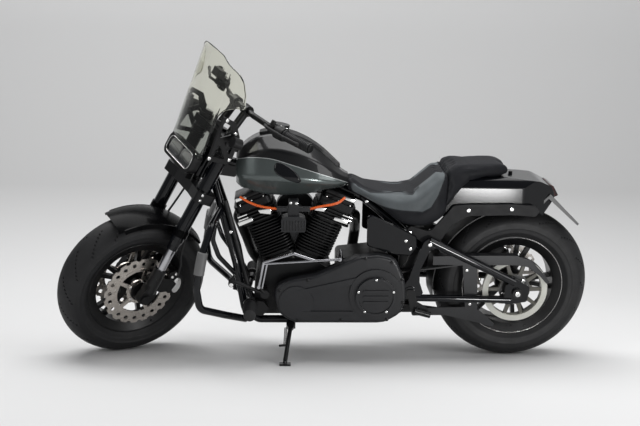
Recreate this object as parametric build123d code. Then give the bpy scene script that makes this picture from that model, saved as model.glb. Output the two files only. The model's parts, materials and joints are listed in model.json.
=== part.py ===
from build123d import *
import math
import os

# Cruiser motorcycle with a 45 degree V-twin, leaning on its side stand.
# Every piece is drawn in the upright machine's frame: x runs rearward from the
# front axle, y to the rider's right, z up from the ground.  The steered pieces
# are then turned about the steering axis and the whole machine is leaned over.

# ---- driving dimensions (mm and degrees) -----------------------------------
WHEELBASE = 1615.0
RAKE = 28.0
TRAIL = 132.0
LEAN = 10.15
STEER = 32.13
FRONT_R = 323.0
FRONT_WIDTH = 150.0
FRONT_CROWN = 84.0
FRONT_RIM_HALF = 54.0
REAR_R = 329.0
REAR_WIDTH = 180.0
REAR_CROWN = 108.0
REAR_RIM_HALF = 72.0
RIM_R = 217.0
BEAD_R = 204.0
AXLE_R = 12.0
RUNNING = 0.05
ROUND_GAP = 0.3
LEG_Y = 118.0
LEG_BACK = 12.0
LEG_R = 28.0
SLIDER_R = 19.5
STEM_R = 17.0
RAIL_Y = 112.0
RAIL_R = 16.0
CRANK_X = 688.0
CRANK_Z = 300.0
V_HALF = 22.5
BELT_IN = -98.0
BELT_OUT = -126.0
PULLEY_R = 133.0
FRONT_PULLEY_R = 52.0
FRONT_PULLEY_X = 1030.0
FRONT_PULLEY_Z = 334.0
PIVOT_X = 1168.0
PIVOT_Z = 330.0
ARM_Y = 157.0
STAND_PIVOT = (674.0, -152.0, 176.0)
STAND_FOOT_Y = -286.0
STAND_FOOT_X = 650.0
STAND_TILT = 41.5

SIN_R = math.sin(math.radians(RAKE))
COS_R = math.cos(math.radians(RAKE))
TAN_R = SIN_R / COS_R
STEM_BACK = (TRAIL - FRONT_R * TAN_R) * -COS_R
SIDES = (-1, 1)


# ---- helpers ----------------------------------------------------------------
def slab(face, low, high):
    """Outline in the x-z plane, made solid between y = low and y = high."""
    return extrude(Plane.XZ.offset(-high) * face, amount=high - low)


def outline(points, radius):
    """Closed outline with one corner radius, or a list with one for each corner."""
    return make_face(FilletPolyline(*points, radius=radius, close=True))


def box(low, high):
    """Box between two opposite corners."""
    size = [b - a for a, b in zip(low, high)]
    middle = [(a + b) / 2 for a, b in zip(low, high)]
    return Pos(*middle) * Box(*size)


def rod(start, end, radius, end_radius=None):
    """Straight round bar or cone between two points."""
    run = Vector(*end) - Vector(*start)
    plane = Plane(origin=start, z_dir=run)
    if end_radius is None:
        return extrude(plane * Circle(radius), amount=run.length)
    far = Plane(origin=end, z_dir=run)
    return loft([plane * Circle(radius), far * Circle(end_radius)])


def bent_tube(points, radius, bends):
    """Round tube along straight runs joined by tangent arcs."""
    path = FilletPolyline(*points, radius=bends)
    return sweep((path ^ 0) * Circle(radius), path=path)


def easy_bends(points):
    """Largest tangent arcs that two neighbouring runs leave room for."""
    radii = []
    for before, corner, after in zip(points, points[1:], points[2:]):
        run_in = Vector(*corner) - Vector(*before)
        run_out = Vector(*after) - Vector(*corner)
        half_turn = math.radians(run_in.get_angle(run_out)) / 2
        radii.append(0.45 * min(run_in.length, run_out.length) / math.tan(half_turn))
    return radii


def fused(pieces):
    """One solid from touching pieces."""
    whole = pieces[0]
    for piece in pieces[1:]:
        whole = whole + piece
    return whole


def both_sides(left):
    """The left piece with its mirror image on the right."""
    return [left, mirror(left, Plane.XZ)]


def axis_y_ring(outer, inner, low, high):
    """Washer or drum about the y axis."""
    ring = make_face(Polyline((inner, low), (outer, low), (outer, high), (inner, high), close=True))
    return revolve(ring, Axis.Y)


def axis_y_disc(radius, low, high):
    """Disc about the y axis."""
    return Pos(0, (low + high) / 2, 0) * Rot(90, 0, 0) * Cylinder(radius, high - low)


# ---- where things stand -----------------------------------------------------
fork = Plane(origin=(0, 0, FRONT_R), x_dir=(COS_R, 0, -SIN_R), z_dir=(SIN_R, 0, COS_R)).location
head = Plane(origin=(-TRAIL, 0, 0), x_dir=(COS_R, 0, -SIN_R), z_dir=(SIN_R, 0, COS_R)).location
at_rear_axle = Pos(WHEELBASE, 0, REAR_R)
at_front_axle = Pos(0, 0, FRONT_R)
steered = head * Rot(0, 0, STEER) * head.inverse()
leaned = Rot(LEAN, 0, 0)


def tyre_low(place, radius, crown):
    """Hub centre's x and the height of the lowest point of a round-crowned tyre."""
    hub = place.position
    across = (place * Pos(0, 1, 0)).position - hub
    drop = (radius - crown) * math.sqrt(1 - across.Z ** 2) + crown
    return hub.X, hub.Z - drop


front_x, front_low = tyre_low(leaned * steered * at_front_axle, FRONT_R, FRONT_CROWN)
rear_x, rear_low = tyre_low(leaned * at_rear_axle, REAR_R, REAR_CROWN)
PITCH = math.degrees(math.atan2(rear_low - front_low, rear_x - front_x))
tipped = Rot(0, PITCH, 0) * leaned
front_x, front_low = tyre_low(tipped * steered * at_front_axle, FRONT_R, FRONT_CROWN)
rear_x, rear_low = tyre_low(tipped * at_rear_axle, REAR_R, REAR_CROWN)
on_ground = Pos(0, 0, -front_low) * tipped


# ---- wheels -----------------------------------------------------------------
def tyre(radius, width, crown, rim_half):
    """Tyre section open to the rim, turned about its axle."""
    half = width / 2
    shoulder = math.asin((half - 5) / crown)
    core = radius - crown
    shoulder_r = core + crown * math.cos(shoulder)
    wall = 13.0
    inner = crown - wall
    inner_turn = math.asin((half - 5 - wall) / inner)
    inner_r = core + inner * math.cos(inner_turn)
    bead = rim_half - 10
    sides = []
    for side in SIDES:
        outer_side = ThreePointArc(
            (BEAD_R + 18, side * (rim_half + 2)),
            (BEAD_R + 50, side * half),
            (shoulder_r, side * (half - 5)),
        )
        inner_side = ThreePointArc(
            (BEAD_R + 22, side * (bead - 9)),
            (BEAD_R + 50, side * (half - wall)),
            (inner_r, side * (half - 5 - wall)),
        )
        foot = Polyline(
            (BEAD_R + 18, side * (rim_half + 2)),
            (BEAD_R + 14.5, side * bead),
            (BEAD_R + 1, side * bead),
            (BEAD_R + 1, side * (bead - 9)),
            (BEAD_R + 22, side * (bead - 9)),
        )
        sides += [outer_side, inner_side, foot]
    tread = ThreePointArc((shoulder_r, half - 5), (radius, 0), (shoulder_r, 5 - half))
    liner = ThreePointArc(
        (inner_r, half - 5 - wall), (core + inner, 0), (inner_r, 5 + wall - half)
    )
    return revolve(make_face([tread, liner] + sides), Axis.Y)


def rim(rim_half):
    """Drop-centre rim with two flanges."""
    half_section = (
        (RIM_R, rim_half),
        (RIM_R, rim_half - 5),
        (BEAD_R, rim_half - 7),
        (BEAD_R, rim_half - 24),
        (BEAD_R - 16, rim_half - 36),
    )
    half_inside = (
        (BEAD_R - 28, rim_half - 38),
        (BEAD_R - 28, rim_half - 16),
        (RIM_R - 7, rim_half),
    )
    left_section = [(r, -y) for r, y in reversed(half_section)]
    left_inside = [(r, -y) for r, y in reversed(half_inside)]
    loop = list(half_section) + left_section + left_inside + list(half_inside)
    return revolve(make_face(Polyline(*loop, close=True)), Axis.Y)


def cast_wheel(rim_half, hub_low, hub_high, pairs):
    """Rim, hub and split spokes, cast in one piece."""
    hub = axis_y_ring(40, AXLE_R + RUNNING, hub_low, hub_high)
    flange = axis_y_ring(62, 36, -14, 14)
    spokes = []
    for pair in range(pairs):
        middle = 360.0 / pairs * pair
        for side in SIDES:
            blade = outline(
                ((44, -10), (190, -8 + side * 30), (190, 8 + side * 30), (44, 10)), 0
            )
            spoke = slab(blade, -11, 11)
            spokes.append(spoke.rotate(Axis.Y, middle))
    return fused([rim(rim_half), hub, flange] + spokes)


def wave_disc(outer, inner, thickness, waves, slots):
    """Brake disc with a scalloped edge and oval windows, about the y axis."""
    disc = axis_y_ring(outer, inner, -thickness / 2, thickness / 2)
    for wave in range(waves):
        turn = math.radians(360.0 / waves * wave)
        away = outer + 6
        notch = axis_y_disc(14, -thickness, thickness)
        disc = disc - Pos(away * math.cos(turn), 0, away * math.sin(turn)) * notch
    for slot in range(slots):
        turn = math.radians(360.0 / slots * (slot + 0.5))
        away = (outer + inner) / 2
        hole = axis_y_disc(9, -thickness, thickness)
        disc = disc - Pos(away * math.cos(turn), 0, away * math.sin(turn)) * hole
    return disc


DISC_Y = 72.0
DISC_T = 5.0


def front_wheel_nodes():
    """Tyre, casting and the two brake discs with their carriers."""
    discs = []
    for side in SIDES:
        ring = Pos(0, side * DISC_Y, 0) * wave_disc(155, 107, DISC_T, 20, 20)
        carrier = axis_y_ring(110, 98, -4, 4)
        arms = [carrier, axis_y_ring(56, 40.2, -4, 4)]
        for arm in range(5):
            blade = slab(outline(((50, -9), (104, -7), (104, 7), (50, 9)), 0), -4, 4)
            arms.append(blade.rotate(Axis.Y, 72 * arm))
        discs.append(ring + Pos(0, side * DISC_Y, 0) * fused(arms))
    return {
        "front_tyre": at_front_axle * tyre(FRONT_R, FRONT_WIDTH, FRONT_CROWN, FRONT_RIM_HALF),
        "front_wheel_casting": at_front_axle * cast_wheel(FRONT_RIM_HALF, -82, 82, 5),
        "front_brake_discs": [at_front_axle * disc for disc in discs],
    }


def pulley():
    """Belt pulley with a pale rim, ten spokes and a hub ring."""
    parts = [
        axis_y_ring(PULLEY_R, PULLEY_R - 20, BELT_OUT, BELT_IN),
        axis_y_ring(PULLEY_R + 4, PULLEY_R - 20, BELT_OUT - 2.5, BELT_OUT),
        axis_y_ring(66, 40.2, BELT_OUT + 4, BELT_IN - 6),
    ]
    for arm in range(10):
        blade = outline(((60, -9), (124, -6), (124, 6), (60, 9)), 0)
        parts.append(slab(blade, BELT_OUT + 6, BELT_IN - 8).rotate(Axis.Y, 36 * arm))
    return fused(parts)


def rear_wheel_nodes():
    """Tyre, casting, belt pulley and brake disc."""
    disc = wave_disc(146, 112, 6, 18, 18)
    spider = [disc, axis_y_ring(60, 40.2, -3, 3)]
    for arm in range(5):
        blade = slab(outline(((54, -9), (116, -7), (116, 7), (54, 9)), 0), -3, 3)
        spider.append(blade.rotate(Axis.Y, 72 * arm))
    return {
        "rear_tyre": at_rear_axle * tyre(REAR_R, REAR_WIDTH, REAR_CROWN, REAR_RIM_HALF),
        "rear_wheel_casting": at_rear_axle * cast_wheel(REAR_RIM_HALF, -125, 112, 5),
        "rear_pulley": at_rear_axle * pulley(),
        "rear_brake_disc": at_rear_axle * Pos(0, 103, 0) * fused(spider),
    }


# ---- front end, drawn upright along the fork and then laid back by the rake --
CLAMP_LOW = 478.0
CLAMP_HIGH = 522.0
NECK_LOW = 545.0
NECK_HIGH = 722.0
TOP_CLAMP = 728.0
TOP_CLAMP_HIGH = 758.0
TUBE_END = 262.0
TUBE_TOP = 782.0
LUG_TOP = 140.0
BAR_UP = 886.0
BAR_BACK = 66.0


def yoke(low, high, grip, overhang):
    """Clamp that holds both fork legs and the stem."""
    front = LEG_BACK - LEG_R - grip
    back = STEM_BACK + STEM_R + grip + 8
    wide = LEG_Y + LEG_R + overhang
    shape = make_face(
        FilletPolyline(
            (front, -wide), (LEG_BACK + LEG_R + grip, -wide), (back, -60), (back, 60),
            (LEG_BACK + LEG_R + grip, wide), (front, wide), (front + 14, 70), (front + 14, -70),
            radius=[18, 18, 16, 16, 18, 18, 20, 20], close=True,
        )
    )
    body = extrude(Plane.XY.offset(low) * shape, amount=high - low)
    for side in SIDES:
        body = body - Pos(LEG_BACK, side * LEG_Y, (low + high) / 2) * Cylinder(LEG_R, high - low + 2)
    return body


def triple_clamps():
    """Lower and upper yokes joined by the steering stem."""
    stem = rod((STEM_BACK, 0, CLAMP_LOW + 4), (STEM_BACK, 0, TOP_CLAMP_HIGH + 8), STEM_R)
    cap = rod((STEM_BACK, 0, TOP_CLAMP_HIGH), (STEM_BACK, 0, TOP_CLAMP_HIGH + 12), 21)
    return fused([yoke(CLAMP_LOW, CLAMP_HIGH, 17, 15), yoke(TOP_CLAMP, TOP_CLAMP_HIGH, 14, 3), stem, cap])


def fork_tubes():
    """Outer tubes that taper to a wiper collar at the lower end, with a cap on top."""
    taper, collar_r = 22.0, SLIDER_R + 4
    legs = []
    for side in SIDES:
        y = side * LEG_Y
        tube = rod((LEG_BACK, y, TUBE_END + taper), (LEG_BACK, y, TUBE_TOP), LEG_R)
        cone = rod((LEG_BACK, y, TUBE_END), (LEG_BACK, y, TUBE_END + taper), collar_r, LEG_R)
        collar = rod((LEG_BACK, y, TUBE_END - taper), (LEG_BACK, y, TUBE_END), collar_r)
        cap = rod((LEG_BACK, y, TUBE_TOP), (LEG_BACK, y, TUBE_TOP + 9), LEG_R - 6, LEG_R - 9)
        bore = rod((LEG_BACK, y, TUBE_END - 30), (LEG_BACK, y, TUBE_END + 60), SLIDER_R)
        legs.append(tube + cone + collar + cap - bore)
    return legs


def fork_sliders():
    """Bright lower stanchions."""
    return [
        rod((LEG_BACK, side * LEG_Y, LUG_TOP - 40), (LEG_BACK, side * LEG_Y, TUBE_END + 60), SLIDER_R)
        for side in SIDES
    ]


def fork_lugs():
    """Axle clamps with their caliper ears."""
    lugs = []
    for side in SIDES:
        y = side * LEG_Y
        boss = rod((LEG_BACK, y, 30), (LEG_BACK, y, LUG_TOP), 27)
        foot = slab(outline(((-26, -26), (24, -26), (40, 30), (30, 60), (-14, 60)), 10), y - 20, y + 20)
        low, high = sorted((side * (LEG_Y - 16), side * (LEG_Y - 4)))
        ear = slab(outline(((24, 44), (66, 34), (114, 54), (122, 92), (88, 104), (24, 96)), 8), low, high)
        lug = boss + foot + ear
        lug = lug - rod((0, y - 30, 0), (0, y + 30, 0), AXLE_R)
        lug = lug - rod((LEG_BACK, y, LUG_TOP - 40), (LEG_BACK, y, LUG_TOP + 1), SLIDER_R)
        lugs.append(lug)
    return lugs


def front_axle():
    """Axle with a head on each end."""
    bar = rod((0, -LEG_Y - 26, 0), (0, LEG_Y + 26, 0), AXLE_R)
    heads = [
        rod((0, side * (LEG_Y + 20.5), 0), (0, side * (LEG_Y + 30), 0), 17) for side in SIDES
    ]
    return fused([bar] + heads)


def front_calipers():
    """Four-piston calipers astride the discs."""
    bodies = []
    for side in SIDES:
        shape = outline(((108, 32), (146, 44), (164, 84), (142, 124), (102, 148), (76, 124), (88, 82)), 12)
        inner_y, outer_y = DISC_Y - 12, LEG_Y - 17
        low, high = sorted((side * inner_y, side * outer_y))
        body = slab(shape, low, high)
        gap = 3.0 + DISC_T / 2
        slot = Pos(0, side * DISC_Y, 0) * axis_y_disc(158, -gap, gap)
        bodies.append(body - slot)
    return bodies


FENDER_R = 341.0
FENDER_SKIRT = 316.0
FENDER_HALF = 83.0
FENDER_SKIN = 4.0
FENDER_FRONT = 106.2
FENDER_ARCH = 72.2


def front_fender():
    """Short arched mudguard with side skirts, turned about the axle."""
    edge = FENDER_R - 15
    inner = FENDER_HALF - FENDER_SKIN
    top = ThreePointArc((edge, -FENDER_HALF), (FENDER_R, 0), (edge, FENDER_HALF))
    under = ThreePointArc((edge - 1, inner), (FENDER_R - FENDER_SKIN, 0), (edge - 1, -inner))
    right = Polyline((edge, FENDER_HALF), (FENDER_SKIRT, FENDER_HALF), (FENDER_SKIRT, inner), (edge - 1, inner))
    left = Polyline((edge, -FENDER_HALF), (FENDER_SKIRT, -FENDER_HALF), (FENDER_SKIRT, -inner), (edge - 1, -inner))
    arch = revolve(make_face([top, right, under, left]), Axis.Y, FENDER_ARCH)
    return at_front_axle * Rot(0, -FENDER_FRONT, 0) * arch


STAY_UP = 306.0
STAY_LOW_R = 306.0
STAY_HIGH_R = 326.0
STAY_ARCH = 50.0


def fender_stays():
    """Curved straps beside the mudguard, each clamped round a fork tube."""
    stays = []
    for side in SIDES:
        low, high = sorted((side * FENDER_HALF, side * (FENDER_HALF + 6)))
        section = Polyline(
            (STAY_LOW_R, low), (STAY_HIGH_R, low), (STAY_HIGH_R, high), (STAY_LOW_R, high), close=True
        )
        strap = Rot(0, 4 - FENDER_FRONT, 0) * revolve(make_face(section), Axis.Y, STAY_ARCH)
        y = side * LEG_Y
        ring = rod((LEG_BACK, y, STAY_UP), (LEG_BACK, y, STAY_UP + 30), LEG_R + 5)
        bore = rod((LEG_BACK, y, STAY_UP - 90), (LEG_BACK, y, STAY_UP + 90), LEG_R)
        gap = at_front_axle * axis_y_ring(FENDER_R + 6, FENDER_SKIRT - 26, -FENDER_HALF, FENDER_HALF)
        stays.append(at_front_axle * strap + fork * ring - fork * bore - gap)
    return stays


LAMP_LOW = 563.0
LAMP_HIGH = 655.0
LAMP_FRONT = -100.0
LAMP_HALF = 118.0


def lamp_face(grow):
    """Wide rounded outline of the headlamp, seen from the front."""
    middle = (LAMP_LOW + LAMP_HIGH) / 2
    high = (LAMP_HIGH - LAMP_LOW) / 2 + grow
    half = LAMP_HALF + grow
    return Plane.YZ * Pos(0, middle) * RectangleRounded(2 * half, 2 * high, high * 0.62)


def headlamp():
    """Lamp shell with a tapering back, its bezel ring, its bracket and the lens set in it."""
    front = Pos(LAMP_FRONT + 14, 0, 0) * lamp_face(0)
    middle = Pos(LAMP_FRONT + 40, 0, 0) * lamp_face(-3)
    back = Plane.YZ.offset(-32) * Pos(0, (LAMP_LOW + LAMP_HIGH) / 2) * RectangleRounded(150, 62, 18)
    shell = loft([front, middle]) + loft([middle, back])
    bezel = extrude(Pos(LAMP_FRONT, 0, 0) * lamp_face(2), amount=18)
    bezel = bezel - extrude(Pos(LAMP_FRONT - 1, 0, 0) * lamp_face(-12), amount=20)
    lens = extrude(Pos(LAMP_FRONT + 5, 0, 0) * lamp_face(-12), amount=9)
    bracket = box((-38, -32, CLAMP_HIGH), (-10, 32, LAMP_LOW + 34))
    return fused([shell - bezel, bezel, bracket - bezel]), lens


SCREEN_TILT = 9.5
SCREEN_R = 240.0
SCREEN_T = 4.0
screen_place = Pos(-124, 0, 640) * Rot(0, -SCREEN_TILT, 0)


def screen_shell(outer, inner):
    """Curved sheet whose middle is the foremost line."""
    sheet = Pos(SCREEN_R, 0, 150) * (Cylinder(outer, 640) - Cylinder(inner, 640))
    return sheet


def screen():
    """Tinted windscreen: round top and wings above a narrower foot beside the lamp."""
    right_edge = (  # half width, height, corner radius
        (129, -5, 10), (138, 40, 60), (138, 190, 40), (150, 222, 30), (176, 246, 30), (200, 256, 10),
        (192, 312, 80), (178, 356, 60), (148, 394, 60), (96, 422, 100), (0, 424, 300),
    )
    left_edge = [(-y, up, bend) for y, up, bend in reversed(right_edge[:-1])]
    edge = list(right_edge) + left_edge
    bends = [bend for y, up, bend in edge]
    face = make_face(FilletPolyline(*[(y, up) for y, up, bend in edge], radius=bends, close=True))
    shape = extrude(Plane.YZ.offset(-60) * face, amount=220)
    sheet = screen_place * (screen_shell(SCREEN_R, SCREEN_R - SCREEN_T) & shape)
    return sheet - extrude(Pos(-190, 0, 0) * lamp_face(4), amount=180)


def screen_brackets():
    """Pierced side plates between fork clamps and the screen."""
    plate_in, plate_out = 150, 156
    beyond = Cylinder(SCREEN_R + 80, 640) - Cylinder(SCREEN_R - SCREEN_T, 640)
    cut = screen_place * Pos(SCREEN_R, 0, 150) * beyond
    windows = (
        ((-62, 676), (4, 684), (-52, 738)),
        ((14, 702), (-38, 752), (6, 776)),
        ((-66, 760), (-82, 828), (-44, 822), (-22, 790)),
    )
    plates = []
    for side in SIDES:
        y = side * LEG_Y
        low, high = sorted((side * plate_in, side * plate_out))
        shape = outline(
            ((-78, 655), (28, 668), (34, 712), (18, 792), (-30, 842), (-98, 848), (-92, 800)), 8
        )
        plate = slab(shape, low, high)
        for window in windows:
            plate = plate - slab(outline(window, 5), low - 1, high + 1)
        lug_low, lug_high = sorted((side * 144, side * (plate_in + 1)))
        for up in (672.0, 700.0):
            ring = rod((LEG_BACK, y, up), (LEG_BACK, y, up + 16), LEG_R + 5)
            plate = plate + ring + box((-2, lug_low, up), (26, lug_high, up + 16))
        bore = rod((LEG_BACK, y, 640), (LEG_BACK, y, 760), LEG_R)
        foot_low, foot_high = sorted((side * 126, side * (plate_in + 2)))
        foot = box((-128, foot_low, 806), (-80, foot_high, 822))
        signal_arm = rod((-10, side * 140, 769), (-14, side * 190, 773), 9)
        plates.append(plate + foot - bore - cut - signal_arm)
    return plates


GRIP_START = 285.0
GRIP_END = 405.0
BAR_R = 12.7
BAR_BENDS = (60, 60, 60, 60)
MIRROR_HOLE_R = 5.0
MIRROR_DEPTH = 16.0


def bar_route(reach):
    """Points of the handlebar from the left end to the right end."""
    right = [(62, 0, 884), (62, 104, 884), (100, 250, 890), (152, reach, 910)]
    left = [(x, -y, z) for x, y, z in reversed(right[1:])]
    return left + right[1:]


def handlebar():
    """Low straight bar on two risers."""
    bar = bent_tube(bar_route(405), BAR_R, BAR_BENDS)
    for side in SIDES:
        riser = rod((STEM_BACK + 6, side * 48, TOP_CLAMP_HIGH), (60, side * 48, 868), 17)
        clamp = Pos(62, side * 48, 884) * Rot(90, 0, 0) * Cylinder(23, 36)
        bar = bar + riser + clamp
    return bar


def along_bar(side, reach):
    """Point on the outer straight run of the bar at a distance from the middle."""
    share = (reach - 250) / (405 - 250)
    return Vector(100 + 52 * share, side * reach, 890 + 20 * share)


def grips():
    """Rubber grips with an end flange, bored for the bar."""
    pieces = []
    for side in SIDES:
        start, end = along_bar(side, GRIP_START), along_bar(side, GRIP_END)
        run = (end - start).normalized()
        grip = rod(start, end + run * 3, 19)
        grip = grip + rod(start, start + run * 5, 24) + rod(end - run * 3, end + run * 3, 21)
        pieces.append(grip - rod(start - run, end, BAR_R))
    return pieces


def bar_controls():
    """Switch housings, lever perches with their levers, and the brake reservoir."""
    pieces = []
    for side in SIDES:
        inner, outer = along_bar(side, 244), along_bar(side, 281)
        housing = rod(inner, outer, 27)
        perch = rod(along_bar(side, 212), along_bar(side, 240), 19)
        ear = box(
            (46, min(side * 214, side * 240), 884), (92, max(side * 214, side * 240), 902)
        )
        post = rod((76, side * 226, 896), (76, side * 226, 922), 10)
        hole = rod((76, side * 226, 922 - MIRROR_DEPTH), (76, side * 226, 923), MIRROR_HOLE_R)
        lever_points = [
            (44, side * 226, 893), (32, side * 262, 893), (64, side * 330, 897), (94, side * 400, 905),
        ]
        lever = bent_tube(lever_points, 6, [14, 60])
        tip = Pos(94, side * 400, 905) * Sphere(8)
        bore = bent_tube(bar_route(405), BAR_R + ROUND_GAP, BAR_BENDS)
        pieces.append(housing - bore)
        if side > 0:
            perch = perch + brake_reservoir()
        pieces.append(perch + ear + post + lever + tip - bore - hole)
    return pieces


def brake_reservoir():
    """Master cylinder with its square reservoir, on the right of the bar."""
    tank = Pos(44, 232, 930) * Box(40, 64, 34)
    tank = fillet(tank.edges().filter_by(Axis.Z), 8)
    neck = box((44, 216, 896), (58, 238, 916))
    return tank + neck


def indicators():
    """Bullet turn signals on short arms from the fork tubes."""
    pieces = []
    for side in SIDES:
        ring = rod((LEG_BACK, side * LEG_Y, 762), (LEG_BACK, side * LEG_Y, 776), LEG_R + 4)
        ring = ring - rod((LEG_BACK, side * LEG_Y, 740), (LEG_BACK, side * LEG_Y, 786), LEG_R)
        arm = rod((LEG_BACK - 22, side * (LEG_Y + 22), 769), (-14, side * 190, 773), 6)
        bullet = Pos(-14, side * 196, 774) * Rot(0, 90, 0) * Cylinder(22, 40)
        pieces.append(ring + arm + bullet)
    return pieces


def brake_hoses():
    """Hoses clipped behind the fork legs, caliper to yoke."""
    hoses = []
    for side in SIDES:
        points = [
            (112, side * 106, 126), (104, side * 106, 170), (72, side * 107, 226),
            (58, side * 104, 296), (56, side * 84, 380), (52, side * 62, 474),
        ]
        radii = easy_bends(points)
        hoses.append(bent_tube(points, 4.5, radii))
    return hoses, radii


# ---- engine -----------------------------------------------------------------
def in_cylinder(lean):
    """Frame of one cylinder: z up along its bore from the crankshaft's centre."""
    return Pos(CRANK_X, 0, CRANK_Z) * Rot(0, lean, 0)


def stack(halves, half_y, low, high, corner):
    """Rounded block across a cylinder: halves are its reach forward and rearward."""
    forward, rearward = halves
    face = Pos((rearward - forward) / 2, 0) * RectangleRounded(forward + rearward, 2 * half_y, corner)
    return extrude(Plane.XY.offset(low) * face, amount=high - low)


BARREL_LOW = 176.0
BARREL_HIGH = 342.0
HEAD_HIGH = 404.0
ROCKER_HIGH = 446.0
FIN_T = 4.0
FIN_STEP = 12.5


def engine_stacks():
    """Finned barrels, finned heads and rocker covers of both cylinders."""
    barrels, heads, covers = [], [], []
    for lean, front in ((-V_HALF, True), (V_HALF, False)):
        place = in_cylinder(lean)
        outward, inward = 96, 66
        halves = (outward, inward) if front else (inward, outward)
        barrel = stack((62, 62), 68, BARREL_LOW, BARREL_HIGH, 40)
        count = int((BARREL_HIGH - BARREL_LOW - 8) / FIN_STEP)
        for fin in range(1, count + 1):
            low = BARREL_LOW + 2 + fin * FIN_STEP
            barrel = barrel + stack((76, 76), 86, low, low + FIN_T, 30)
        head_block = stack([half - 12 for half in halves], 72, BARREL_HIGH, HEAD_HIGH, 16)
        for fin in range(4):
            low = BARREL_HIGH + 5 + fin * 14
            head_block = head_block + stack(halves, 92, low, low + 5, 22)
        cover = stack([half - 2 for half in halves], 84, HEAD_HIGH, ROCKER_HIGH - 14, 20)
        cap = stack([half - 14 for half in halves], 70, ROCKER_HIGH - 14, ROCKER_HIGH, 16)
        barrels.append(place * barrel)
        heads.append(place * head_block)
        covers.append(place * (cover + cap))
    kept = []
    for low_x, barrel in ((-400, barrels[0]), (1, barrels[1])):
        kept.append(barrel & box((CRANK_X + low_x, -200, 0), (CRANK_X + low_x + 399, 200, 900)))
    return kept, heads, covers


def crankcase():
    """Crankcase: round crank chamber, cylinder decks and a flat sump."""
    chamber = outline(
        ((548, 222), (838, 222), (862, 300), (842, 408), (786, 448), (590, 448), (534, 408), (520, 300)),
        [30, 30, 40, 50, 24, 24, 50, 40],
    )
    case = slab(chamber, -127, 96)
    for lean in (-V_HALF, V_HALF):
        case = case + in_cylinder(lean) * stack((70, 70), 76, 60, BARREL_LOW, 24)
    return case


def gearbox():
    """Gearbox with the oil tank cast under it."""
    body = outline(
        ((866, 224), (1070, 224), (1104, 262), (1108, 296), (1112, 408), (1020, 470), (866, 452)),
        [20, 20, 20, 14, 40, 40, 20],
    )
    return slab(body, -92, 92)


PRIMARY_FACE = -206.0
PRIMARY_SEAM = -166.0
PRIMARY_BACK = -128.0


def primary_outline():
    """Chain case from the side: a round front end, a waist and a tall round rear end."""
    edge = (  # x, z, corner radius
        (602, 326, 80), (612, 368, 40), (668, 394, 100), (770, 413, 100), (946, 494, 100),
        (1030, 503, 80), (1100, 486, 60), (1141, 392, 100), (1148, 306, 100), (1122, 246, 60),
        (1062, 210, 60), (682, 210, 60), (622, 250, 60),
    )
    return outline([(x, z) for x, z, bend in edge], [bend for x, z, bend in edge])


def primary_cover():
    """Outer chain case on the left with its round ends and raised ribs."""
    cover = slab(primary_outline(), PRIMARY_FACE, PRIMARY_SEAM)
    cover = fillet(cover.faces().sort_by(Axis.Y)[0].edges(), 13)
    lobe = Pos(1020, 0, 336) * axis_y_disc(108, PRIMARY_FACE - 8, PRIMARY_FACE + 6)
    front_lobe = Pos(694, 0, 300) * axis_y_disc(70, PRIMARY_FACE - 5, PRIMARY_FACE + 6)
    ridge_shape = outline(((700, 352), (940, 408), (948, 384), (706, 330)), 6)
    keel_shape = outline(((716, 262), (930, 262), (930, 246), (716, 246)), 6)
    ridge = slab(ridge_shape, PRIMARY_FACE - 6, PRIMARY_FACE + 6)
    keel = slab(keel_shape, PRIMARY_FACE - 6, PRIMARY_FACE + 6)
    return cover + lobe + front_lobe + ridge + keel - pivot_room()


def inner_primary():
    """Inner half of the chain case, a little smaller than the outer cover."""
    return slab(offset(primary_outline(), amount=-6), PRIMARY_SEAM, PRIMARY_BACK) - pivot_room()


def pivot_room():
    """Notch in the rear end of the chain case for the end of the swingarm pivot."""
    return box((PIVOT_X - 30, -ARM_Y - 18, PIVOT_Z - 44), (PIVOT_X + 40, PRIMARY_BACK, PIVOT_Z + 46))


def derby_cover():
    """Round clutch cover with a raised rim and three bars."""
    place = Pos(1020, 0, 330)
    disc = place * axis_y_disc(82, -224, -214)
    rim_ring = place * axis_y_ring(82, 72, -230, -224)
    bars = [box((1020 - 52, -229, 330 + up - 5), (1020 + 52, -224, 330 + up + 5)) for up in (-24, 0, 24)]
    return fused([disc, rim_ring] + bars)


def cam_cover():
    """Timing cover on the right with its round window."""
    edge = ((560, 268), (640, 238), (800, 252), (822, 350), (760, 430), (610, 430), (556, 360))
    return slab(outline(edge, 30), 96, 136) + Pos(700, 0, 320) * axis_y_disc(52, 136, 144)


def pushrod_tubes():
    """Two covered pushrods to each head, on the right."""
    tubes = []
    for foot, top in ((628, -52), (652, -14), (724, 14), (748, 52)):
        lean = -V_HALF if top < 0 else V_HALF
        high = in_cylinder(lean) * Pos(top * 0.4, 108, HEAD_HIGH + 8)
        tubes.append(rod((foot, 118, 430), high.position, 9))
    return tubes


def air_cleaner():
    """Round air cleaner on the right, with its neck and the inlet block in the vee."""
    place = Pos(CRANK_X + 6, 0, 600)
    body = place * axis_y_disc(86, 138, 196)
    body = fillet(body.faces().sort_by(Axis.Y)[-1].edges(), 14)
    dish = place * axis_y_disc(50, 190, 198)
    neck = place * axis_y_disc(34, 20, 138)
    inlet = box((CRANK_X - 40, -40, 494), (CRANK_X + 40, 40, 612))
    for lean in (-V_HALF, V_HALF):
        inlet = inlet - in_cylinder(lean) * stack((77, 77), 96, 100, 470, 4)
    return fused([body - dish, neck, inlet])


def coil_cover():
    """Coil housing in the vee, on the left, with a stem up to the tank."""
    shape = outline(((632, 586), (730, 586), (732, 640), (706, 652), (656, 652), (630, 640)), 8)
    case = slab(shape, -160, -98)
    stem = slab(outline(((656, 640), (704, 640), (700, 716), (662, 716)), 4), -148, -104)
    arms = box((612, -140, 668), (748, -116, 684))
    return case + stem + arms


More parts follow.
